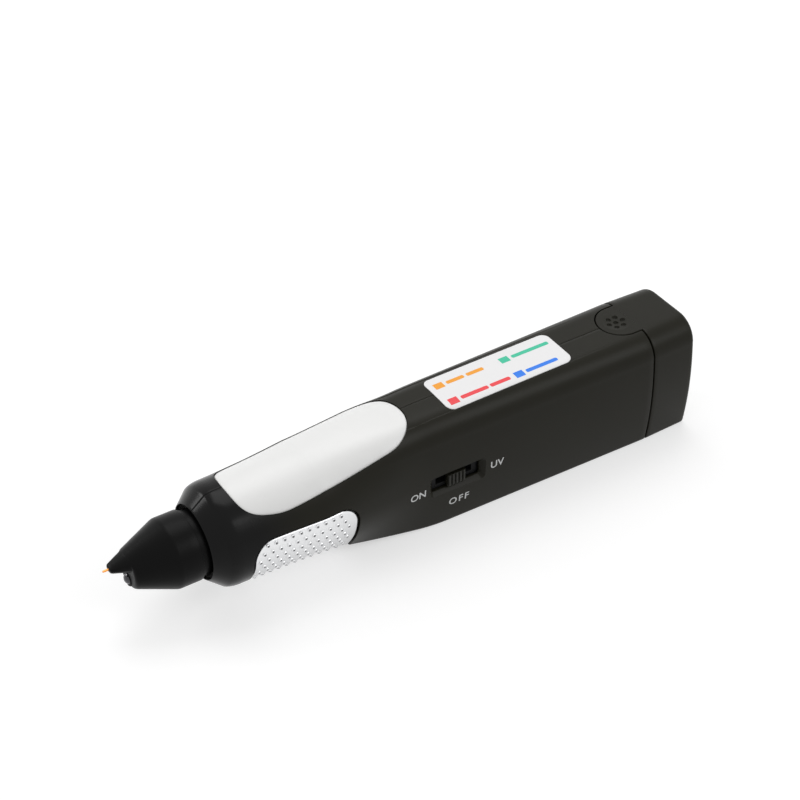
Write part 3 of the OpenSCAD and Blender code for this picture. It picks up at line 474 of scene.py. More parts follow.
def dress(piece, body, finish, slot, *nodes):
    """Gives a piece its body and its finish, and hides the nodes that it stands for."""
    piece.data.materials.clear()
    piece.data.materials.append(finish)
    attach(piece, body)
    if nodes:
        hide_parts(*nodes)
    return piece


def loop_faces(rows, count):
    """Quads between rows of points, round each row."""
    faces = []
    for low in range(0, (rows - 1) * count, count):
        high = low + count
        faces += [(low + j, low + (j + 1) % count, high + (j + 1) % count, high + j) for j in range(count)]
    return faces


def from_loops(name, loops, smooth=SHARP):
    """A skin through closed rows of points."""
    return new_piece(name, np.concatenate(loops), loop_faces(len(loops), len(loops[0])), smooth)


def inward(outline, offset, held=None):
    """A closed plan drawn in by an offset, apart from points that are held."""
    along = np.roll(outline, -1, axis=0) - np.roll(outline, 1, axis=0)
    along /= np.linalg.norm(along, axis=1)[:, None]
    normal = np.stack((-along[:, 1], along[:, 0]), axis=1)
    share = 1.0 if held is None else (1.0 - held)[:, None]
    return outline + offset * normal * share


def edge_rows(low, top, radius, count=4):
    """Offsets and depths from a lower depth up a wall and over a rounded edge."""
    rows = [(0.0, low)]
    for i in range(count + 1):
        a = math.pi / 2 * i / count
        rows.append((radius * (1 - math.cos(a)), top + radius * (1 - math.sin(a))))
    return rows


def top_patch(name, skin, outline, spine, rows, fill=16, lift=None, held=None):
    """A closed solid on the case's upper side, from its plan, the line it closes on and its edge's rows."""
    x0, x1, y_mid = spine

    def towards_spine(points, share):
        core = np.stack((np.clip(points[:, 0], x0, x1), np.full(len(points), y_mid)), axis=1)
        return core + share * (points - core)

    loops = [skin.on_top(towards_spine(outline, k / BASE_RINGS), rows[0][1]) for k in range(BASE_RINGS)]
    for offset, depth in rows:
        loops.append(skin.on_top(inward(outline, offset, held), depth))
    rim = inward(outline, rows[-1][0], held)
    for k in range(fill - 1, -1, -1):
        loops.append(skin.on_top(towards_spine(rim, k / fill), rows[-1][1]))
    if lift:
        for loop in loops[BASE_RINGS + len(rows) - 1:]:
            loop[:, 2] += [lift(x, y) for x, y in loop[:, :2]]
    return from_loops(name, loops)


def mirrored_plan(half):
    """A closed plan from its half at positive Y, which starts and ends on the middle line."""
    half = np.array(half)
    other = half[-2:0:-1] * (1, -1)
    return np.concatenate((half, other))[::-1]


def arc(x, y, radius, start, end, count):
    """Points of an arc, in degrees."""
    turn = np.radians(np.linspace(start, end, count))
    return [(x + radius * math.cos(a), y + radius * math.sin(a)) for a in turn]


def spread(a, b, count):
    """Points between two points, without the ends."""
    return [tuple(np.add(a, np.subtract(b, a) * k / (count + 1))) for k in range(1, count + 1)]


def bent(a, b, c, t):
    """Point of a curve that leaves a towards b and reaches c from b."""
    return (1 - t) ** 2 * a + 2 * t * (1 - t) * b + t * t * c


def window_plan(form, skin, grow, count=320):
    """Window seen from above: bowed front with round corners, sides that draw in, round rear."""
    x0 = skin.x_handle + form.window_set
    turns, ease = 721, 12
    rounds = ((form.window_side_r, 2 * form.window_side_r, form.window_side_r),
              (form.window_bow + form.window_corner_r, form.window_front_w, form.window_corner_r),
              (form.window_wide_set, form.window_w, form.window_side_r),
              (form.window_wide_set + form.window_wide_l, form.window_w, form.window_side_r),
              (form.window_l - form.window_rear_r, form.window_rear_w, form.window_rear_r))
    half = []
    for a in np.linspace(math.pi, 0, turns):
        reach = [(x * math.cos(a) + (w / 2 - r) * math.sin(a) + r, x, w / 2 - r, r) for x, w, r in rounds]
        _, x, y, r = max(reach)
        half.append((x0 + x + (r + grow) * math.cos(a), y + (r + grow) * math.sin(a)))
    half[0], half[-1] = (half[0][0], 0.0), (half[-1][0], 0.0)
    half = np.array(half)
    run = np.concatenate(([0.0], np.cumsum(np.linalg.norm(np.diff(half, axis=0), axis=1))))
    at = np.linspace(0, run[-1], count // 2)
    even = np.stack((np.interp(at, run, half[:, 0]), np.interp(at, run, half[:, 1])), axis=1)
    spine = (x0 + form.window_side_r, x0 + form.window_l - form.window_rear_r, -form.window_off)
    ring = mirrored_plan(even)
    ring = sum((ease - abs(k)) * np.roll(ring, k, axis=0) for k in range(1 - ease, ease)) / ease ** 2
    return ring - (0, form.window_off), spine


def rect_plan(x, y, long, wide, corner, count=6, side=12):
    """Rectangle with round corners, seen from above."""
    x0, x1, y1 = x - long / 2, x + long / 2, wide / 2
    front = arc(x0 + corner, y1 - corner, corner, 180, 90, count)
    rear = arc(x1 - corner, y1 - corner, corner, 90, 0, count)
    start, end = (x0, 0), (x1, 0)
    half = ([start] + spread(start, front[0], 3) + front + spread(front[-1], rear[0], side)
            + rear + spread(rear[-1], end, 3) + [end])
    reach = min(long, wide) / 2
    return mirrored_plan(half) + (0, y), (x0 + reach, x1 - reach, y)


def tongue_plan(form, skin, grow, x_back):
    """Cover's tongue seen from above: round front, straight back."""
    r = form.tongue_w / 2 + grow
    x0 = skin.x_cover - form.tongue_l + form.tongue_w / 2
    front = arc(x0, 0, r, 180, 90, 80)
    corner, end = (x_back, r), (x_back, 0)
    half = front + spread(front[-1], corner, 24) + [corner] + spread(corner, end, 40) + [end]
    return mirrored_plan(half), (x0, x_back, 0.0)


def tube_block(name, along, start, end, radius, count=48):
    """A closed round bar between two places along Y, at an X and a Z."""
    x, z = along
    ring = np.array(arc(x, z, radius, 0, 360, count + 1)[:-1])
    loops = []
    for y, share in ((start, 0.0), (start, 1.0), (end, 1.0), (end, 0.0)):
        flat = (x, z) + share * (ring - (x, z))
        loops.append(np.stack((flat[:, 0], np.full(count, y), flat[:, 1]), axis=1))
    return from_loops(name, loops)


class Term:
    """A value in a node tree that can be used in sums."""

    def __init__(self, nodes, socket):
        self.nodes = nodes
        self.socket = socket

    def math(self, operation, *values):
        """Adds a step of arithmetic."""
        return self.nodes.node("ShaderNodeMath", {"operation": operation}, dict(enumerate(values)))

    def __add__(self, other):
        return self.math("ADD", self, other)

    def __sub__(self, other):
        return self.math("SUBTRACT", self, other)

    def __rsub__(self, other):
        return self.math("SUBTRACT", other, self)

    def __mul__(self, other):
        return self.math("MULTIPLY", self, other)

    def __abs__(self):
        return self.math("ABSOLUTE", self)

    __radd__ = __add__
    __rmul__ = __mul__


class Nodes:
    """A node tree that is cleared and filled again."""

    def __init__(self, tree):
        self.tree = tree
        tree.nodes.clear()

    def node(self, kind, settings=None, inputs=None, out=0):
        """Adds a node, sets it and its sockets, and returns one of its outputs, if it has any."""
        node = self.tree.nodes.new(kind)
        for key, value in (settings or {}).items():
            setattr(node, key, value)
        for key, value in (inputs or {}).items():
            socket = node.inputs[key]
            if isinstance(value, Term):
                self.tree.links.new(value.socket, socket)
            elif socket.type == "RGBA":
                socket.default_value = (*value, 1.0)
            else:
                socket.default_value = value
        return Term(self, node.outputs[out]) if node.outputs else None

    def white_rays(self):
        """For each kind of ray that sees the floor and the room as plain white, a value that is 1 for it."""
        return [self.node("ShaderNodeLightPath", out=name) for name in WHITE_RAYS]


class Finish(Nodes):
    """A material made of nodes, with one surface shader."""

    def __init__(self, name):
        self.material = bpy.data.materials.new(name)
        self.material.use_nodes = True
        super().__init__(self.material.node_tree)
        self.place = self.node("ShaderNodeTexCoord", out="Object")

    def surface(self, **inputs):
        """Adds the surface shader, whose sockets are named with underscores."""
        sockets = {key.replace("_", " "): value for key, value in inputs.items()}
        shader = self.node("ShaderNodeBsdfPrincipled", inputs=sockets, out="BSDF")
        self.node("ShaderNodeOutputMaterial", inputs={"Surface": shader})
        return self.material

    def noise(self, size, detail=2.0, rough=0.5):
        """Noise whose grains are about a given size."""
        return self.node("ShaderNodeTexNoise", inputs={
            "Vector": self.place, "Scale": 1.0 / size, "Detail": detail, "Roughness": rough})

    def axis(self, name):
        """One coordinate of the place on the pen."""
        return self.node("ShaderNodeSeparateXYZ", inputs={"Vector": self.place}, out=name)

    def ramp(self, value, start, end, low=0.0, high=1.0):
        """A smooth change from low to high while a value goes from start to end."""
        return self.node("ShaderNodeMapRange", {"interpolation_type": "SMOOTHSTEP"}, {
            "Value": value, "From Min": start, "From Max": end, "To Min": low, "To Max": high})

    def blend(self, share, a, b):
        """A colour between two colours."""
        factor, first, second, result = 0, 6, 7, 2
        return self.node("ShaderNodeMix", {"data_type": "RGBA"}, {factor: share, first: a, second: b}, result)

    def relief(self, height, depth, strength=1.0):
        """A normal that follows a height."""
        return self.node("ShaderNodeBump", inputs={"Height": height, "Distance": depth, "Strength": strength},
                         out="Normal")


def shaded(rgb, share):
    """A colour made lighter or darker."""
    return tuple(min(1.0, c * share) for c in rgb)


def keep_finish(name, make):
    """Makes a finish once and finds it again later."""
    return bpy.data.materials.get(name) or make(Finish(name))


def moulded(finish, rgb, rough, sheen=0.5, painted_shade=None):
    """Moulded plastic with a fine spark-eroded grain and slow changes of tone; a share, where given, darkens
    it towards black with painted shade.
    """
    cloud = finish.noise(9 * MM, 3.0)
    grains = finish.noise(0.12 * MM, 2.0, 0.6)
    tone = finish.blend(cloud, shaded(rgb, 0.86), shaded(rgb, 1.14))
    return finish.surface(
        Base_Color=finish.blend(painted_shade, tone, PAINTED_SHADE_BLACK) if painted_shade else tone,
        Roughness=0.08 * cloud + 0.03 * grains + (rough - 0.05),
        Normal=finish.relief(grains, 0.006 * MM, 0.6), Specular_IOR_Level=sheen,
    )


def case_plastic(colours):
    """Satin black, glossier towards the collar, with painted shade that darkens it there."""
    def make(finish):
        rough = finish.ramp(finish.axis("X"), -52 * MM, -30 * MM, 0.2, 0.36)
        # Painted shade: the case darkens towards the collar, standing in for the weaker light that falls on
        # the front
        painted_shade = finish.ramp(finish.axis("X"), -46 * MM, -31 * MM, 1.0, 0.0)
        return moulded(finish, tuple(colours.case_black), rough, 0.13, painted_shade)
    return keep_finish("case satin black", make)


def nose_plastic(colours):
    """Deep black with a soft gloss."""
    return keep_finish("nose deep black", lambda f: moulded(f, tuple(colours.nose_black), 0.36, 0.085))


def knob_plastic(colours):
    """The case's black, a little darker and with a stronger sheen."""
    return keep_finish("knob black", lambda f: moulded(f, shaded(colours.case_black, 0.9), 0.4, 0.25))


def inner_plastic():
    """Dull black of what lies inside."""
    return keep_finish("inner dark plastic", lambda f: moulded(f, (0.006, 0.006, 0.0065), 0.55, 0.15))


def frosted_plastic(colours):
    """Frosted white that lets some light through, with painted shade that greys it along its sides."""
    def make(finish):
        rgb = tuple(colours.window_white)
        cloud = finish.noise(14 * MM, 2.0)
        # Painted shade: the window greys towards its sides, standing in for the shade of its curved edges and
        # of the parts behind it; the cloud adds a random change of tone
        side = finish.ramp(abs(finish.axis("Y")), 6.2 * MM, 9.6 * MM)
        frost = finish.noise(0.22 * MM, 2.0, 0.6)
        return finish.surface(
            Base_Color=finish.blend(0.55 * side * cloud + 0.12 * cloud, rgb, shaded(rgb, 0.8)),
            Roughness=0.34 + 0.08 * frost,
            Normal=finish.relief(frost, 0.004 * MM, 0.5),
            Subsurface_Weight=0.25, Subsurface_Radius=(1.0, 1.0, 1.0), Subsurface_Scale=1.2 * MM,
        )
    return keep_finish("window frosted white", make)


def plated_silver(colours):
    """Satin silver plating, darkened on the underside by painted shade."""
    def make(finish):
        rgb = tuple(colours.grip_silver)
        cloud = finish.noise(5 * MM, 3.0)
        pits = finish.noise(0.18 * MM, 2.0, 0.6)
        # Painted shade: the plate darkens towards its underside, standing in for the shade and dimmer
        # reflections that fall there
        clear_of_painted_shade = finish.ramp(finish.axis("Z"), 5 * MM, 15 * MM)
        plate = finish.blend(clear_of_painted_shade, shaded(rgb, 0.8), rgb)
        return finish.surface(
            Base_Color=finish.blend(0.4 * cloud, plate, shaded(rgb, 0.9)), Metallic=1.0,
            Roughness=0.24 + 0.1 * cloud + 0.06 * pits, Normal=finish.relief(pits, 0.004 * MM, 0.5),
        )
    return keep_finish("grip satin silver", make)


def label_film(colours):
    """White film with a faint fibre."""
    def make(finish):
        rgb = tuple(colours.label_white)
        cloud = finish.noise(12 * MM, 2.0)
        fibre = finish.noise(0.3 * MM, 3.0)
        return finish.surface(
            Base_Color=finish.blend(cloud, shaded(rgb, 0.97), rgb), Roughness=0.36 + 0.1 * fibre,
            Normal=finish.relief(fibre, 0.003 * MM, 0.4),
        )
    return keep_finish("label white film", make)


def ink(name, rgb):
    """Printed ink with a fine speck."""
    def make(finish):
        speck = finish.noise(0.12 * MM, 2.0)
        return finish.surface(Base_Color=finish.blend(speck, rgb, shaded(rgb, 0.9)),
                              Roughness=0.35 + 0.15 * speck)
    return keep_finish(name, make)


def bare_metal(name, rgb, rough, drawn=(1.0, 1.0, 1.0)):
    """Metal with faint marks drawn out along an axis."""
    def make(finish):
        along = finish.node("ShaderNodeVectorMath", {"operation": "MULTIPLY"}, {0: finish.place, 1: drawn})
        lines = finish.node("ShaderNodeTexNoise", inputs={
            "Vector": along, "Scale": 1 / (0.2 * MM), "Detail": 3.0})
        return finish.surface(
            Base_Color=finish.blend(lines, shaded(rgb, 0.82), shaded(rgb, 1.08)), Metallic=1.0,
            Roughness=rough + 0.14 * lines, Normal=finish.relief(lines, 0.004 * MM, 0.5),
        )
    return keep_finish(name, make)


def lamp_resin():
    """Dark violet resin of the lamp, with a clear coat."""
    def make(finish):
        swirl = finish.noise(0.8 * MM, 2.0)
        return finish.surface(
            Base_Color=finish.blend(swirl, (0.004, 0.003, 0.007), (0.014, 0.01, 0.022)),
            Roughness=0.06 + 0.06 * swirl, Coat_Weight=0.5, Coat_Roughness=0.05,
        )
    return keep_finish("lamp dark resin", make)


def plain_ceramic(name, rgb):
    """Dull ceramic or resin with a fine speck."""
    def make(finish):
        speck = finish.noise(0.3 * MM, 3.0)
        return finish.surface(Base_Color=finish.blend(speck, shaded(rgb, 0.9), rgb),
                              Roughness=0.4 + 0.15 * speck)
    return keep_finish(name, make)


def board_mask():
    """Green board with lighter tracks under its mask."""
    def make(finish):
        cells = finish.node("ShaderNodeTexBrick", {"offset": 0.4}, {
            "Vector": finish.place, "Scale": 1 / (3 * MM), "Color1": (1.0, 1.0, 1.0),
            "Color2": (0.9, 0.9, 0.9), "Mortar": (0.0, 0.0, 0.0), "Mortar Size": 0.06}, "Fac")
        cloud = finish.noise(4 * MM)
        green = finish.blend(cloud, (0.01, 0.11, 0.035), (0.015, 0.15, 0.05))
        return finish.surface(Base_Color=finish.blend(0.6 * cells, green, (0.06, 0.3, 0.1)),
                              Roughness=0.25 + 0.1 * cloud)
    return keep_finish("board green mask", make)


def battery_jacket():
    """Printed battery jacket: a dark body with a lighter band near its terminals."""
    def make(finish):
        band = finish.ramp(finish.axis("X"), 38 * MM, 38.4 * MM, 1.0, 0.0)
        scuff = finish.noise(0.9 * MM, 4.0)
        dark = finish.blend(scuff, (0.02, 0.022, 0.028), (0.035, 0.037, 0.045))
        return finish.surface(Base_Color=finish.blend(band, dark, (0.62, 0.36, 0.12)),
                              Metallic=0.4, Roughness=0.28 + 0.18 * scuff)
    return keep_finish("battery printed jacket", make)


def seam_edges(form, y, z):
    """Rounds a half section's two ends where it meets the other half."""
    w, d = form.seam_w / 2, 0.6 * form.seam_w
    curve = ((0.0, 1.0), (0.4, 0.35), (1.0, 0.02))
    top = [(out * w, z[0] - down * d) for out, down in curve]
    low = [(out * w, z[-1] + down * d) for out, down in reversed(curve)]
    ends = [np.array(top), np.stack((y[1:-1], z[1:-1]), axis=1), np.array(low)]
    return np.concatenate(ends)


def at_x(x, points):
    """Points of a section, put at a place along the pen."""
    return np.stack((np.full(len(points), x), points[:, 0], points[:, 1]), axis=1)


def round_at(x, z, reach, angle):
    """Points at a place along the pen, at angles and distances round a line of a given height."""
    return np.stack((np.full(len(angle), x), reach * np.cos(angle), z + reach * np.sin(angle)), axis=1)


def collar_rows(form):
    """Outside and inside of the collar, as places and radii from its rim to the handle."""
    rim_r = form.barrel_r + form.nose_gap
    cone_end = np.array((form.collar_cone_l, rim_r + form.collar_cone_rise))
    turn_l, turn_d = 1.1 * MM, 0.05 * MM
    meet = np.array((form.collar_cone_l + turn_l, form.collar_r - turn_d))
    end = np.array((form.collar_l, form.collar_r))
    lip_edge = ((0.3, 0.0), (0.1, 0.02), (0.03, 0.09), (0.1, 0.2))
    rim = [(x * MM, rim_r + out * MM) for x, out in lip_edge]
    curve = [tuple(bent(cone_end, meet, end, t)) for t in np.linspace(0, 1, 17)]
    outside = rim + spread(rim[-1], cone_end, 7) + curve
    spigot_r = form.barrel_r - form.spigot_in + form.fit
    lip = form.groove_l + form.lip_l
    seat_r = form.flange_r + form.fit
    corners = [rim[0], (form.groove_l, rim_r), (form.groove_l, spigot_r), (lip, spigot_r), (lip, seat_r),
               (form.collar_l, seat_r)]
    inside = [corners[0]]
    steps = (4, 4, 4, 5)
    for a, b, count in zip(corners, corners[1:], steps + (len(outside) - 1 - sum(steps),)):
        inside += spread(a, b, count - 1) + [b]
    return outside, inside


def half_case(name, form, skin, side):
    """One half of the case as a closed wall, before its cuts."""
    ys, zs = skin.section(skin.x_handle)
    angles = np.arctan2(zs - form.nose_z, ys)

    def round_row(x, r):
        points = seam_edges(form, r * np.cos(angles), form.nose_z + r * np.sin(angles))
        return at_x(skin.x_collar + x, points)

    rows = [(round_row(*outer), round_row(*inner)) for outer, inner in zip(*collar_rows(form))]
    x_end = skin.x_cover - form.part_gap / 2
    ease = form.ease_l
    stretches = ((skin.x_handle, skin.x_flare - ease, 16), (skin.x_flare - ease, skin.x_case + ease, 64),
                 (skin.x_case + ease, x_end - PART_EDGE_L, 40))
    places = [(float(x), 0.0) for start, end, count in stretches for x in np.linspace(start, end, count)[1:]]
    places += [(x_end - back, depth) for back, depth in PART_EDGE]
    for x, depth in places:
        outer = seam_edges(form, *skin.section(x, depth))
        inner = seam_edges(form, *skin.section(x, skin.wall(x)))
        rows.append((at_x(x, outer), at_x(x, inner)))
    count = len(rows[0][0])
    verts = np.concatenate([np.concatenate((outer, inner[::-1])) for outer, inner in rows])
    verts[:, 1] *= side
    faces = loop_faces(len(rows), 2 * count)
    last = (len(rows) - 1) * 2 * count
    faces += [(last + j, last + j + 1, last + 2 * count - 2 - j, last + 2 * count - 1 - j)
              for j in range(count - 1)]
    return new_piece(name, verts, faces)


def grip_grid(form, skin, margin, depth, columns=28, rows=90):
    """Grid of points over the grip plate's place, from one upper edge under the handle to the other."""
    r = form.grip_corner_r + margin
    x0 = skin.x_handle + form.grip_set - margin
    x1 = skin.x_handle + form.grip_set + form.grip_l + margin
    z1 = form.nose_z + form.grip_up + margin
    corner = np.linspace(0, math.pi / 2, columns // 2)
    rise = [(x0 + r * (1 - math.cos(a)), z1 - r + r * math.sin(a)) for a in corner]
    fall = [(x0 + x1 - x, z) for x, z in rise[::-1]]
    top = rise + spread(rise[-1], fall[0], columns) + fall
    grid = np.empty((len(top), rows, 3))
    for i, (x, z) in enumerate(top):
        start = math.atan2(z - form.nose_z, skin.on_side(x, z, depth))
        for j, angle in enumerate(np.linspace(start, -math.pi - start, rows)):
            grid[i, j] = (x, *skin.around(x, angle, depth))
    return grid


def grid_border(columns, rows):
    """Numbers of a grid's outer points, in order."""
    ahead = [(i, 0) for i in range(columns)] + [(columns - 1, j) for j in range(1, rows)]
    back = [(i, rows - 1) for i in range(columns - 2, -1, -1)] + [(0, j) for j in range(rows - 2, 0, -1)]
    return [i * rows + j for i, j in ahead + back]


def grid_faces(columns, rows, base=0):
    """Quads of a grid of points whose first point has the number base."""
    corners = [base + i * rows + j for i in range(columns - 1) for j in range(rows - 1)]
    return [(k, k + rows, k + rows + 1, k + 1) for k in corners]


def grip_solid(form, skin, edge):
    """A closed plate through grids: a list of margins and depths from its inner face to its outer one."""
    grids = [grip_grid(form, skin, margin, depth) for margin, depth in edge]
    columns, rows = grids[0].shape[:2]
    size = columns * rows
    verts = np.concatenate([grid.reshape(-1, 3) for grid in grids])
    faces = grid_faces(columns, rows) + grid_faces(columns, rows, (len(grids) - 1) * size)
    border = grid_border(columns, rows)
    for g in range(len(grids) - 1):
        for a, b in zip(border, border[1:] + border[:1]):
            faces.append((g * size + a, g * size + b, (g + 1) * size + b, (g + 1) * size + a))
    return verts, faces


def slot_cutter(form, x, y, z):
    """Switch slot with its chamfered mouth, cut in from the -Y side."""
    corner, spine = 0.35 * MM, 3 * MM
    mouth = ((2.2, 3.2), (0.25, 1.25), (-0.1, 0.95), (-0.9, 0.15), (-1.1, 0.04), (-1.3, 0.0), (-4.0, 0.0))
    loops = []
    for out, grow in form.slot_chamfer * np.array(mouth):
        plan, _ = rect_plan(x, 0, form.slot_l + 2 * grow, form.slot_h + 2 * grow, corner + 0.6 * grow)
        loops.append(np.stack((plan[:, 0], np.full(len(plan), -(y + out)), z + plan[:, 1]), axis=1))
    for loop, at in ((loops[0], 0), (loops[-1], len(loops) + 1)):
        core = loop.copy()
        core[:, 0], core[:, 2] = np.clip(core[:, 0], x - spine, x + spine), z
        loops.insert(at, core)
    return from_loops("slot", loops)


class PEN_OT_case(Operator):
    """Build the two halves of the case, with the places of the window, the grip, the cover and the switch."""

    bl_idname = "gem_pen.case"
    bl_label = "Case halves"

    def execute(self, context):
        form, colours, skin = pen(context)
        grip_out, tongue_room = 1.5 * MM, 0.6 * MM
        for name, node, side in (("case_left", "left_shell", -1), ("case_right", "right_shell", 1)):
            half = half_case(name, form, skin, side)
            if side > 0:
                self.add_bosses(half, form, skin)
            plan, spine = window_plan(form, skin, form.fit)
            rows = [(0.0, form.window_t + form.window_sink + form.fit), (0.0, -CUT_OUT)]
            cuts = [top_patch("window_bed", skin, plan, spine, rows, fill=8)]
            rows = [(form.grip_gap, form.grip_sink + form.grip_t + form.fit), (form.grip_gap, -grip_out)]
            cuts.append(new_piece("grip_bed", *grip_solid(form, skin, rows)))
            plan, spine = tongue_plan(form, skin, form.part_gap, skin.x_cover + CUT_OUT)
            rows = [(0.0, form.case_wall + tongue_room), (0.0, -CUT_OUT)]
            cuts.append(top_patch("tongue_bed", skin, plan, spine, rows, fill=8))
            if side < 0:
                x = skin.x_case + form.switch_set
                cuts.append(slot_cutter(form, x, skin.on_side(x, form.switch_z, 0.0), form.switch_z))
            else:
                bore_r = form.screw_head_r + form.fit
                for place in self.screw_places():
                    cuts.append(tube_block("counterbore", place, form.screw_head_y, form.case_w, bore_r))
            carve(half, cuts)
            dress(half, "housing", case_plastic(colours), "case_plastic", node)
        return {"FINISHED"}

    @staticmethod
    def screw_places():
        """X and Z of each screw, read from the screws of the frame."""
        mesh = frame["nodes"]["case_screws"].data
        points = np.array([v.co for v in mesh.vertices])
        apart = 5 * MM
        places = []
        for p in points[:, (0, 2)]:
            near = [q for q in places if np.linalg.norm(np.mean(q, axis=0) - p) < apart]
            if near:
                near[0].append(p)
            else:
                places.append([p])
        return [tuple((np.min(q, axis=0) + np.max(q, axis=0)) / 2) for q in places]

    def add_bosses(self, half, form, skin):
        """Adds the bosses that hold the screws."""
        start = 0.3 * MM
        bosses = []
        for x, z in self.screw_places():
            end = skin.on_side(x, z, skin.wall(x) / 2)
            bosses.append(tube_block("boss", (x, z), start, end, form.boss_r))
        carve(half, bosses, "UNION")


class PEN_OT_window(Operator):
    """Build the frosted window, which lies a little below the rim of its opening."""

    bl_idname = "gem_pen.window"
    bl_label = "Light window"

    def execute(self, context):
        form, colours, skin = pen(context)
        plan, spine = window_plan(form, skin, 0.0)
        rows = edge_rows(form.window_t + form.window_sink, form.window_sink, form.window_edge)
        lens = top_patch("window_lens", skin, plan, spine, rows, fill=26)
        dress(lens, "housing", frosted_plastic(colours), "frosted_plastic", "light_window")
        return {"FINISHED"}


class PEN_OT_grip(Operator):
    """Build the silver grip plate with its staggered bumps."""

    bl_idname = "gem_pen.grip"
    bl_label = "Grip plate"

    def execute(self, context):
        form, colours, skin = pen(context)
        sink, within, soft = form.grip_sink, form.grip_in, 0.25 * MM
        edge = ((0.0, form.grip_t), (0.0, soft), (0.3 * soft, 0.3 * soft), (soft, 0.0))
        verts, faces = grip_solid(form, skin, [(-within - offset, sink + depth) for offset, depth in edge])
        parts, quads, tips, count = [verts], list(faces), [0] * len(faces), len(verts)
        for x, angle in self.bump_places(form, skin):
            dome, cap, tip = self.dome(form, skin, x, angle)
            parts.append(dome)
            quads += [tuple(count + k for k in face) for face in cap]
            tips += tip
            count += len(dome)
        plate = new_piece("grip_bumped", np.concatenate(parts), quads, smooth=50.0)
        if len(plate.data.polygons) != len(tips):
            raise RuntimeError("the grip's bumps lost faces")
        dress(plate, "housing", plated_silver(colours), "plated_plastic", "grip_plate")
        # The tips' darker metal is a painted dark reflection, standing in for the dark surroundings that the
        # small domes reflect
        plate.data.materials.append(bare_metal("bump tips worn", tuple(colours.bump_painted_dark), 0.2))
        for face, tip in zip(plate.data.polygons, tips):
            face.material_index = tip
        return {"FINISHED"}

    @staticmethod
    def bump_places(form, skin):
        """Place along the pen and angle of each bump, in rows that run round the handle."""
        x0 = skin.x_handle + form.grip_set
        x1 = x0 + form.grip_l
        r = form.grip_corner_r
        turn = (math.pi + 2 * form.bump_top) / (form.bump_rows - 1)
        columns = int(form.grip_l / form.bump_pitch)
        places = []
        for row in range(form.bump_rows):
            angle = form.bump_top - row * turn
            z = form.nose_z + form.handle_r * math.sin(angle)
            shift = (row % 2) * form.bump_pitch / 2
            for i in range(-columns, columns + 1):
                x = skin.x_handle + form.bump_x + shift + i * form.bump_pitch
                if not x0 + form.bump_front < x < x1 - form.bump_rear:
                    continue
                inside = min(x - x0, x1 - x)
                drop = r - math.sqrt(max(0.0, r * r - (r - inside) ** 2)) if inside < r else 0.0
                if z < form.nose_z + form.grip_up - drop - 0.35 * form.bump_rear:
                    places.append((x, angle))
        return places

    @staticmethod
    def dome(form, skin, x, angle):
        """Points and faces of a bump, and for each face whether it is a tip face, painted dark to stand in
        for the dark reflection there.
        """
        root, rings, count, silver_rings = 0.08 * MM, 5, 14, 3
        y, z = skin.around(x, angle, form.grip_sink)
        out = Vector((0.0, y, z - form.nose_z)).normalized()
        along = Vector((1.0, 0.0, 0.0))
        across = out.cross(along)
        foot = Vector((x, y, z)) - root * out
        rise = out * (form.bump_h + root)
        verts = []
        for k in range(rings):
            a = math.pi / 2 * k / rings
            flat = form.bump_r * math.cos(a)
            for j in range(count):
                b = 2 * math.pi * j / count
                verts.append(foot + rise * math.sin(a) + flat * (along * math.cos(b) + across * math.sin(b)))
        verts.append(foot + rise)
        faces = loop_faces(rings, count)
        top = (rings - 1) * count
        faces += [(top + j, top + (j + 1) % count, rings * count) for j in range(count)]
        # Faces above the lower rings take the painted dark reflection of the tip
        tips = [int(i >= silver_rings * count) for i in range(len(faces))]
        return np.array([tuple(v) for v in verts]), faces, tips


class PEN_OT_label(Operator):
    """Build the white label and print its four colour keys, each a square with plain bars."""

    bl_idname = "gem_pen.label"
    bl_label = "Label"

    def execute(self, context):
        form, colours, skin = pen(context)
        x0 = skin.x_case + form.label_set
        x_mid = x0 + form.label_l / 2
        plan, spine = rect_plan(x_mid, -form.label_off, form.label_l, form.label_w, form.label_r,
                                count=12, side=36)
        lift, soft = 0.01 * MM, 0.06 * MM
        rows = edge_rows(-lift, -form.label_t, soft, count=2)
        card = top_patch("label_card", skin, plan, spine, rows, fill=14)
        dress(card, "housing", label_film(colours), "label_film", "legend_label")
        ink_low, ink_top = 0.02 * MM, -0.012 * MM
        rows = [(0.0, ink_low - form.label_t), (0.0, ink_top - form.label_t)]
        for name, row, start, bars in LABEL_KEYS:
            finish = ink("label ink " + name, tuple(getattr(colours, "key_" + name)))
            marks = [(start, *KEY_SQUARE)] + [(at, long, *KEY_BAR) for at, long in bars]
            for number, sizes in enumerate(marks):
                at, long, wide, corner = (size * MM for size in sizes)
                plan, spine = rect_plan(x0 + at + long / 2, LABEL_ROWS[row], long, wide, corner)
                mark = top_patch("label_%s_%d" % (name, number), skin, plan, spine, rows, fill=4)
                dress(mark, "housing", finish, "label_film")
        return {"FINISHED"}


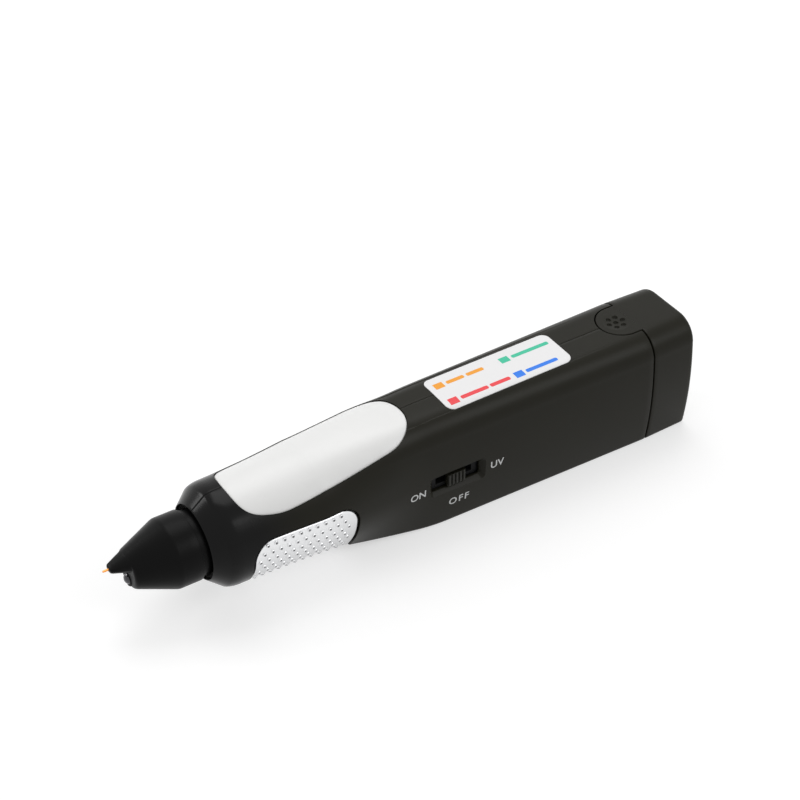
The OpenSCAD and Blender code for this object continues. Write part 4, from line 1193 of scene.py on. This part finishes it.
class PEN_OT_nose(Operator):
    """Build the nose with its barrel, cone, lamp step and probe finger, and the ring round the lamp."""

    bl_idname = "gem_pen.nose"
    bl_label = "Nose"

    def execute(self, context):
        form, colours, skin = pen(context)
        nose = from_loops("nose_body", self.nose_rows(form, skin), smooth=40.0)
        dress(nose, "housing", nose_plastic(colours), "nose_plastic", "nose_cone")
        ring = from_loops("lamp_ring", self.ring_rows(form, skin), smooth=50.0)
        dress(ring, "housing", nose_plastic(colours), "nose_plastic")
        return {"FINISHED"}

    @staticmethod
    def nose_rows(form, skin):
        """Rows of the nose, from the probe's bore over the finger, the step and the cone to the spigot."""
        count = 128
        tip_r, mouth_r, step_turn, bend = 0.45 * MM, 0.06 * MM, 0.9 * MM, 0.5 * MM
        root_l, root_r = 0.25 * MM, 0.12 * MM
        turn = np.linspace(0, 2 * math.pi, count, endpoint=False)
        probe_z = form.nose_z + form.probe_up
        slope = (form.barrel_r - form.step_r) / form.cone_l

        def from_probe(x, reach):
            return round_at(x, probe_z, reach, turn)

        def cone_reach(x):
            r = form.step_r - (skin.x_step - x) * slope
            return -form.probe_up * np.sin(turn) + np.sqrt(r * r - (form.probe_up * np.cos(turn)) ** 2)

        def finger_reach(x):
            """Distance from the probe to the finger or the cone, the nearer of them, with a soft join."""
            join, under_tip, under_root = 0.1 * MM, 0.35 * MM, 0.9 * MM
            share = (x - skin.x_finger) / form.finger_l
            under = (under_tip + (under_root - under_tip) * share) * np.maximum(0.0, -np.sin(turn))
            finger = form.finger_tip_r + (form.finger_r - form.finger_tip_r) * share - under
            cone = cone_reach(x)
            blend = np.clip(0.5 + 0.5 * (cone - finger) / join, 0, 1)
            return cone * (1 - blend) + finger * blend - join * blend * (1 - blend)

        bore = np.full(count, form.pin_r + form.run_fit)
        rows = [from_probe(skin.x_step, bore), from_probe(skin.x_finger + mouth_r, bore),
                from_probe(skin.x_finger, bore + mouth_r)]
        for a in np.linspace(0, math.pi / 2, 6):
            x = skin.x_finger + tip_r * (1 - math.cos(a))
            rows.append(from_probe(x, finger_reach(x) - tip_r * (1 - math.sin(a))))
        for x in np.linspace(skin.x_finger + tip_r, skin.x_step - root_l, 14)[1:]:
            rows.append(from_probe(x, finger_reach(x)))
        face = cone_reach(skin.x_step)
        root = finger_reach(skin.x_step)
        rim = np.minimum(np.maximum(root + root_r, face - step_turn), face)
        for back, out in ((0.08 * MM, 0.03 * MM), (0.0, root_r)):
            rows.append(from_probe(skin.x_step - back, np.minimum(root + out, rim)))
        cone = cone_reach(skin.x_step + step_turn)
        for t in np.linspace(0, 1, 8):
            rows.append(from_probe(skin.x_step + step_turn * t * t, bent(rim, face, cone, t)))
        angle = np.arctan2(rows[-1][:, 2] - form.nose_z, rows[-1][:, 1])
        profile = [(x, form.step_r + (x - skin.x_step) * slope)
                   for x in np.linspace(skin.x_step + step_turn, skin.x_barrel - bend, 24)[1:]]
        corner = np.array((skin.x_barrel, form.barrel_r))
        for t in np.linspace(0, 1, 6)[1:]:
            profile.append(bent(corner - (bend, bend * slope), corner, corner + (bend, 0.0), t))
        neck, neck_r = skin.x_collar - form.neck_l, form.barrel_r - form.neck_in
        groove, spigot_r = skin.x_collar + form.groove_l, form.barrel_r - form.spigot_in
        neck_edge = ((2.0, 0.0), (0.2, 0.0), (0.06, 0.04), (0.0, 0.15))
        profile += [(neck - back * MM, form.barrel_r - down * MM) for back, down in neck_edge]
        profile += [(neck, neck_r), (groove, neck_r), (groove, spigot_r), (groove + form.lip_l, spigot_r)]
        return rows + [round_at(x, form.nose_z, r, angle) for x, r in profile]

    @staticmethod
    def ring_rows(form, skin):
        """Rows of the ring, from places behind the step and distances from the lamp, in millimetres."""
        turn = np.linspace(0, 2 * math.pi, 48, endpoint=False)
        z = form.nose_z - form.lamp_down
        profile = ((0.4, 0.05), (-0.12, 0.05), (-0.2, 0.12), (-0.2, 0.2), (-0.02, 0.36), (0.2, 0.36))
        return [round_at(skin.x_step + x * MM, z, form.lamp_r + out * MM, turn) for x, out in profile]


class PEN_OT_spring(Operator):
    """Build the probe's coil spring in one shape; in the pen it is pressed together as the probe is pressed
    in.
    """

    bl_idname = "gem_pen.spring"
    bl_label = "Probe spring"

    def execute(self, context):
        form = context.scene.pen_form
        turn_steps, wire_points = 36, 10
        low, high = (np.array(corner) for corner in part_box("probe_spring"))
        middle, wire = (low + high) / 2, form.spring_wire / 2
        reach = (high[1] - low[1]) / 2 - wire
        steps = turn_steps * form.spring_turns
        around = np.linspace(0, 2 * math.pi, wire_points, endpoint=False)[:, None]
        loops = []
        for i in range(steps + 1):
            a = 2 * math.pi * form.spring_turns * i / steps
            out = np.array((0.0, math.cos(a), math.sin(a)))
            core = middle + reach * out
            core[0] = low[0] + wire + (high[0] - low[0] - 2 * wire) * i / steps
            loops.append(core + wire * (np.cos(around) * out + np.sin(around) * (1.0, 0.0, 0.0)))
        ends = [np.repeat(loop.mean(axis=0)[None], len(loop), axis=0) for loop in (loops[0], loops[-1])]
        coil = from_loops("spring_coil", [ends[0]] + loops + [ends[1]], smooth=60.0)
        steel = bare_metal("spring steel", (0.55, 0.55, 0.57), 0.24)
        dress(coil, "housing", steel, "spring_steel", "probe_spring")
        press = next(joint for joint in frame["joints"] if joint["name"] == "probe_press")
        travel = max(abs(end) for end in press["range_m"])
        1 - travel / (high[0] - low[0])
        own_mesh(coil)
        return {"FINISHED"}


class PEN_OT_knob(Operator):
    """Build the ribbed knob of the slide switch."""

    bl_idname = "gem_pen.knob"
    bl_label = "Switch knob"

    def execute(self, context):
        form, colours, _ = pen(context)
        low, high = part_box("switch_knob")
        x_mid = (low[0] + high[0]) / 2
        half_l, half_h, soft = form.knob_l / 2, form.knob_h / 2, form.knob_edge
        turn = np.linspace(0, math.pi / 2, 5)
        edge = [(half_h - soft + soft * math.sin(a), soft * (1 - math.cos(a))) for a in turn]
        flat = [(z, 0.0) for z in np.linspace(-half_h + soft, half_h - soft, 7)[1:-1]]
        across = [(-z, drop) for z, drop in edge[::-1]] + flat + edge
        columns, rows = 111, len(across)
        face = np.empty((columns, rows, 3))
        for i, x in enumerate(np.linspace(-half_l, half_l, columns)):
            wave = 0.5 + 0.5 * math.cos(2 * math.pi * form.knob_ribs * (x + half_l) / form.knob_l + math.pi)
            groove = form.knob_rib_d * (1 - min(1.0, 1.6 * wave))
            end = max(0.0, abs(x) - half_l + soft)
            fall = soft - math.sqrt(max(0.0, soft * soft - end * end))
            for j, (z, drop) in enumerate(across):
                sunk = max(groove * (1 - drop / soft), 0.0) + max(drop, fall)
                face[i, j] = (x_mid + x, low[1] + sunk, form.switch_z + z)
        face = face.reshape(-1, 3)
        border = grid_border(columns, rows)
        back = face[border] * (1, 0, 1) + (0, high[1], 0)
        faces = grid_faces(columns, rows)
        base = len(face)
        for k in range(len(border)):
            n = (k + 1) % len(border)
            faces.append((border[k], border[n], base + n, base + k))
        faces.append(tuple(range(base, base + len(border))))
        knob = new_piece("knob_ribbed", np.concatenate((face, back)), faces, smooth=40.0)
        dress(knob, "knob", knob_plastic(colours), "knob_plastic", "switch_knob")
        return {"FINISHED"}


class PEN_OT_legends(Operator):
    """Print the legends of the switch on the side of the case."""

    bl_idname = "gem_pen.legends"
    bl_label = "Switch legends"

    def execute(self, context):
        form, colours, skin = pen(context)
        bolder, half_t, lift = 0.035 * MM, 0.015 * MM, 0.012 * MM
        for name, letters, x, z, gap in LEGENDS:
            curve = bpy.data.curves.new("legend_" + name, "FONT")
            curve.body = letters
            curve.size = form.legend_size
            curve.offset = bolder
            curve.space_character = gap
            curve.align_x, curve.align_y = "CENTER", "CENTER"
            curve.extrude = half_t
            curve.resolution_u = 6
            holder = bpy.data.objects.new("legend_" + name, curve)
            context.scene.collection.objects.link(holder)
            graph = context.evaluated_depsgraph_get()
            mesh = bpy.data.meshes.new_from_object(holder.evaluated_get(graph))
            bpy.data.objects.remove(holder)
            bpy.data.curves.remove(curve)
            for v in mesh.vertices:
                px, pz = x * MM + v.co.x, z * MM + v.co.y
                v.co = (px, -(skin.on_side(px, pz, 0.0) + lift + v.co.z), pz)
            legend = bpy.data.objects.new("legend_" + name, mesh)
            context.scene.collection.objects.link(legend)
            dress(legend, "housing", ink("legend white ink", tuple(colours.legend_white)), "label_film")
        return {"FINISHED"}


class PEN_OT_cover(Operator):
    """Build the battery cover with its tongue, its thumb dish and its dimples."""

    bl_idname = "gem_pen.cover"
    bl_label = "Battery cover"

    def execute(self, context):
        form, colours, skin = pen(context)
        cap = from_loops("cover_cap", self.cap_rows(form, skin))
        dress(cap, "cover", case_plastic(colours), "case_plastic", "battery_cover")
        x_back = skin.x_cover + form.part_gap / 2
        plan, spine = tongue_plan(form, skin, 0.0, x_back)
        slack, soft = 0.01 * MM, 0.15 * MM
        held = (plan[:, 0] > x_back - slack).astype(float)
        rows = edge_rows(form.case_wall, 0.0, soft, count=3)
        x_dish = skin.x_cover - form.tongue_l + form.tongue_w / 2 - form.dimple_ring / 2
        middles = [(x_dish, 0.0)] + arc(x_dish, 0.0, form.dimple_ring, 0, 300, 6)

        def dish(x, y):
            """Height of the tongue's face over the case's own."""
            reach = math.hypot(x - x_dish, y) / (1.75 * form.dimple_ring)
            sunk = form.dish_d * max(0.0, 1 - reach * reach) ** 1.5
            for mx, my in middles:
                near = math.hypot(x - mx, y - my) / (1.25 * form.dimple_r)
                if near < 1:
                    sunk += form.dimple_d * math.sqrt(1 - near * near)
            return -sunk

        tongue = top_patch("cover_tongue", skin, plan, spine, rows, fill=60, lift=dish, held=held)
        dress(tongue, "cover", case_plastic(colours), "case_plastic")
        return {"FINISHED"}

    @staticmethod
    def cap_rows(form, skin):
        """Rows of the cap, from the middle of its inside round its front edge to the middle of its rear."""
        x0, half_t = skin.x_cover + form.part_gap / 2, form.tongue_w / 2
        wall, r = form.case_wall, form.rear_r

        def ring(x, depth):
            y, z = skin.section(x, depth)
            half = np.stack((y, z), axis=1)
            other = half[-2:0:-1] * (-1, 1)
            return at_x(x, np.concatenate((half, other)))

        def shrunk(loop, share):
            core = np.array((loop[0, 0], 0.0, form.case_h / 2))
            return core + share * (loop - core)

        def rim(x, depth):
            """The front edge, square behind the tongue."""
            sharp, soft = ring(x, 0.0), ring(x, depth)
            hold = ((np.abs(sharp[:, 1]) < half_t) & (sharp[:, 2] > form.case_h / 2)).astype(float)[:, None]
            return hold * sharp + (1 - hold) * soft

        inner = ring(skin.x_rear - wall, wall)
        rows = [shrunk(inner, share) for share in (0.0, 0.5)] + [inner, ring(x0, wall)]
        rows += [rim(x0 + back, depth) for back, depth in reversed(PART_EDGE)]
        rows += [ring(x, 0.0) for x in np.linspace(x0 + PART_EDGE_L, skin.x_rear - r, 14)]
        for a in np.linspace(0, math.pi / 2, 9)[1:]:
            rows.append(ring(skin.x_rear - r + r * math.sin(a), r * (1 - math.cos(a))))
        return rows + [shrunk(rows[-1], share) for share in (0.97, 0.7, 0.35, 0.0)]


class PEN_OT_finishes(Operator):
    """Give each construction piece that isn't replaced its own finish, and soften the edges that show."""

    bl_idname = "gem_pen.finishes"
    bl_label = "Finishes"

    def execute(self, context):
        colours = context.scene.pen_finish
        wire = keep_finish("wire red sleeve", lambda f: moulded(f, (0.32, 0.02, 0.015), 0.4))
        finishes = {
            "probe_pin": bare_metal("probe copper", tuple(colours.copper), 0.22, drawn=(0.2, 1.0, 1.0)),
            "probe_sleeve": plain_ceramic("sleeve ceramic", (0.78, 0.75, 0.66)),
            "probe_carrier": inner_plastic(),
            "thermistor": keep_finish("bead resin", lambda f: moulded(f, (0.03, 0.02, 0.012), 0.3)),
            "uv_lamp": lamp_resin(),
            "lamp_leads": wire,
            "probe_leads": wire,
            "main_board": board_mask(),
            "indicator_lamps": plain_ceramic("indicator pale resin", (0.82, 0.78, 0.6)),
            "control_chip": keep_finish("chip resin", lambda f: moulded(f, (0.02, 0.02, 0.022), 0.5)),
            "chip_parts": plain_ceramic("chip tan ceramic", (0.28, 0.18, 0.1)),
            "buzzer": inner_plastic(),
            "grip_contact": bare_metal("contact brass", (0.78, 0.56, 0.24), 0.22),
            "slide_switch": inner_plastic(),
            "switch_slider": inner_plastic(),
            "battery": battery_jacket(),
            "battery_snap": inner_plastic(),
            "battery_leads": wire,
            "case_screws": bare_metal("screw zinc", (0.6, 0.6, 0.62), 0.26),
        }
        for node, finish in finishes.items():
            piece = frame["nodes"][node]
            piece.data.materials.clear()
            piece.data.materials.append(finish)
        for node, width in (("battery", 0.3), ("case_screws", 0.12), ("probe_pin", 0.04)):
            edge = frame["nodes"][node].modifiers.new("soft edges", "BEVEL")
            edge.width = width * MM
            edge.segments = 2
            edge.limit_method = "ANGLE"
            edge.angle_limit = math.radians(40)
        return {"FINISHED"}


class PEN_OT_stage(Operator):
    """Set the camera, the pale floor and the soft studio light."""

    bl_idname = "gem_pen.stage"
    bl_label = "Stage"

    def execute(self, context):
        stage = context.scene.pen_stage
        self.set_camera(context, stage)
        self.set_floor(stage)
        self.set_sky(context, stage)
        for name, place, side, power in LIGHTS:
            self.set_light(context, name, Vector(place), side, getattr(stage, power), Vector(stage.aim))
        context.scene.view_settings.view_transform = "Standard"
        return {"FINISHED"}

    @staticmethod
    def set_camera(context, stage):
        a, e = stage.azimuth, stage.elevation
        back = Vector((math.sin(a) * math.cos(e), -math.cos(a) * math.cos(e), math.sin(e)))
        data = bpy.data.cameras.new("photo_camera")
        data.lens = stage.lens
        data.sensor_width = 36.0
        data.clip_start, data.clip_end = 0.01, 20.0
        camera = bpy.data.objects.new("photo_camera", data)
        camera.location = Vector(stage.aim) + back * stage.distance
        camera.rotation_euler = back.to_track_quat("Z", "Y").to_euler()
        context.scene.collection.objects.link(camera)
        context.scene.camera = camera

    @staticmethod
    def set_floor(stage):
        half = 2.5
        corners = [(-half, -half, 0), (half, -half, 0), (half, half, 0), (-half, half, 0)]
        floor = new_piece("floor", corners, [(0, 1, 2, 3)])
        finish = Finish("floor pale")
        seen = sum(finish.white_rays())
        mottle = finish.noise(40 * MM, 2.0)
        away = finish.node("ShaderNodeVectorMath", {"operation": "LENGTH"}, {0: finish.place}, "Value")
        glow = finish.blend(finish.ramp(away, 0.3, 1.2), tuple(stage.floor_glow), tuple(stage.far_glow))
        finish.surface(
            Base_Color=finish.blend(mottle, shaded(stage.floor, 0.985), tuple(stage.floor)), Roughness=0.9,
            Emission_Color=finish.blend(seen, (0.0, 0.0, 0.0), glow), Emission_Strength=1.0,
            Specular_IOR_Level=0.0,
        )
        floor.data.materials.append(finish.material)

    @staticmethod
    def set_sky(context, stage):
        world = bpy.data.worlds.new("studio room")
        context.scene.world = world
        world.use_nodes = True
        room = Nodes(world.node_tree)
        white = (1.0, 1.0, 1.0)
        layer = room.node("ShaderNodeBackground", inputs={"Color": white, "Strength": stage.sky})
        plain = room.node("ShaderNodeBackground", inputs={"Color": white})
        for seen in room.white_rays():
            layer = room.node("ShaderNodeMixShader", inputs={0: seen, 1: layer, 2: plain})
        room.node("ShaderNodeOutputWorld", inputs={"Surface": layer})

    @staticmethod
    def set_light(context, name, place, side, power, aim):
        data = bpy.data.lights.new(name, "AREA")
        data.size = side
        data.energy = power
        light = bpy.data.objects.new(name, data)
        light.location = place
        light.rotation_euler = (place - aim).to_track_quat("Z", "Y").to_euler()
        context.scene.collection.objects.link(light)


PIECES = (PEN_OT_case, PEN_OT_window, PEN_OT_grip, PEN_OT_label, PEN_OT_nose, PEN_OT_spring, PEN_OT_knob,
          PEN_OT_legends, PEN_OT_cover, PEN_OT_finishes, PEN_OT_stage)


class PEN_PT_panel(Panel):
    """The pen's pieces, sizes and colours."""

    bl_idname = "PEN_PT_panel"
    bl_label = "Gem tester pen"
    bl_space_type = "VIEW_3D"
    bl_region_type = "UI"
    bl_category = "Gem tester"

    def draw(self, context):
        for piece in PIECES:
            self.layout.operator(piece.bl_idname)
        for group in (context.scene.pen_form, context.scene.pen_finish, context.scene.pen_stage):
            box = self.layout.box()
            for name in group.bl_rna.properties.keys():
                if name not in ("rna_type", "name"):
                    box.prop(group, name)


CLASSES = (PenForm, PenFinish, PenStage) + PIECES + (PEN_PT_panel,)


def register():
    for cls in CLASSES:
        bpy.utils.register_class(cls)
    bpy.types.Scene.pen_form = PointerProperty(type=PenForm)
    bpy.types.Scene.pen_finish = PointerProperty(type=PenFinish)
    bpy.types.Scene.pen_stage = PointerProperty(type=PenStage)


def unregister():
    for name in ("pen_stage", "pen_finish", "pen_form"):
        delattr(bpy.types.Scene, name)
    for cls in reversed(CLASSES):
        bpy.utils.unregister_class(cls)


def main():
    register()
    bpy.ops.gem_pen.case()
    bpy.ops.gem_pen.window()
    bpy.ops.gem_pen.grip()
    bpy.ops.gem_pen.label()
    bpy.ops.gem_pen.nose()
    bpy.ops.gem_pen.spring()
    bpy.ops.gem_pen.knob()
    bpy.ops.gem_pen.legends()
    bpy.ops.gem_pen.cover()
    bpy.ops.gem_pen.finishes()
    bpy.ops.gem_pen.stage()


if __name__ == "__main__":
    main()
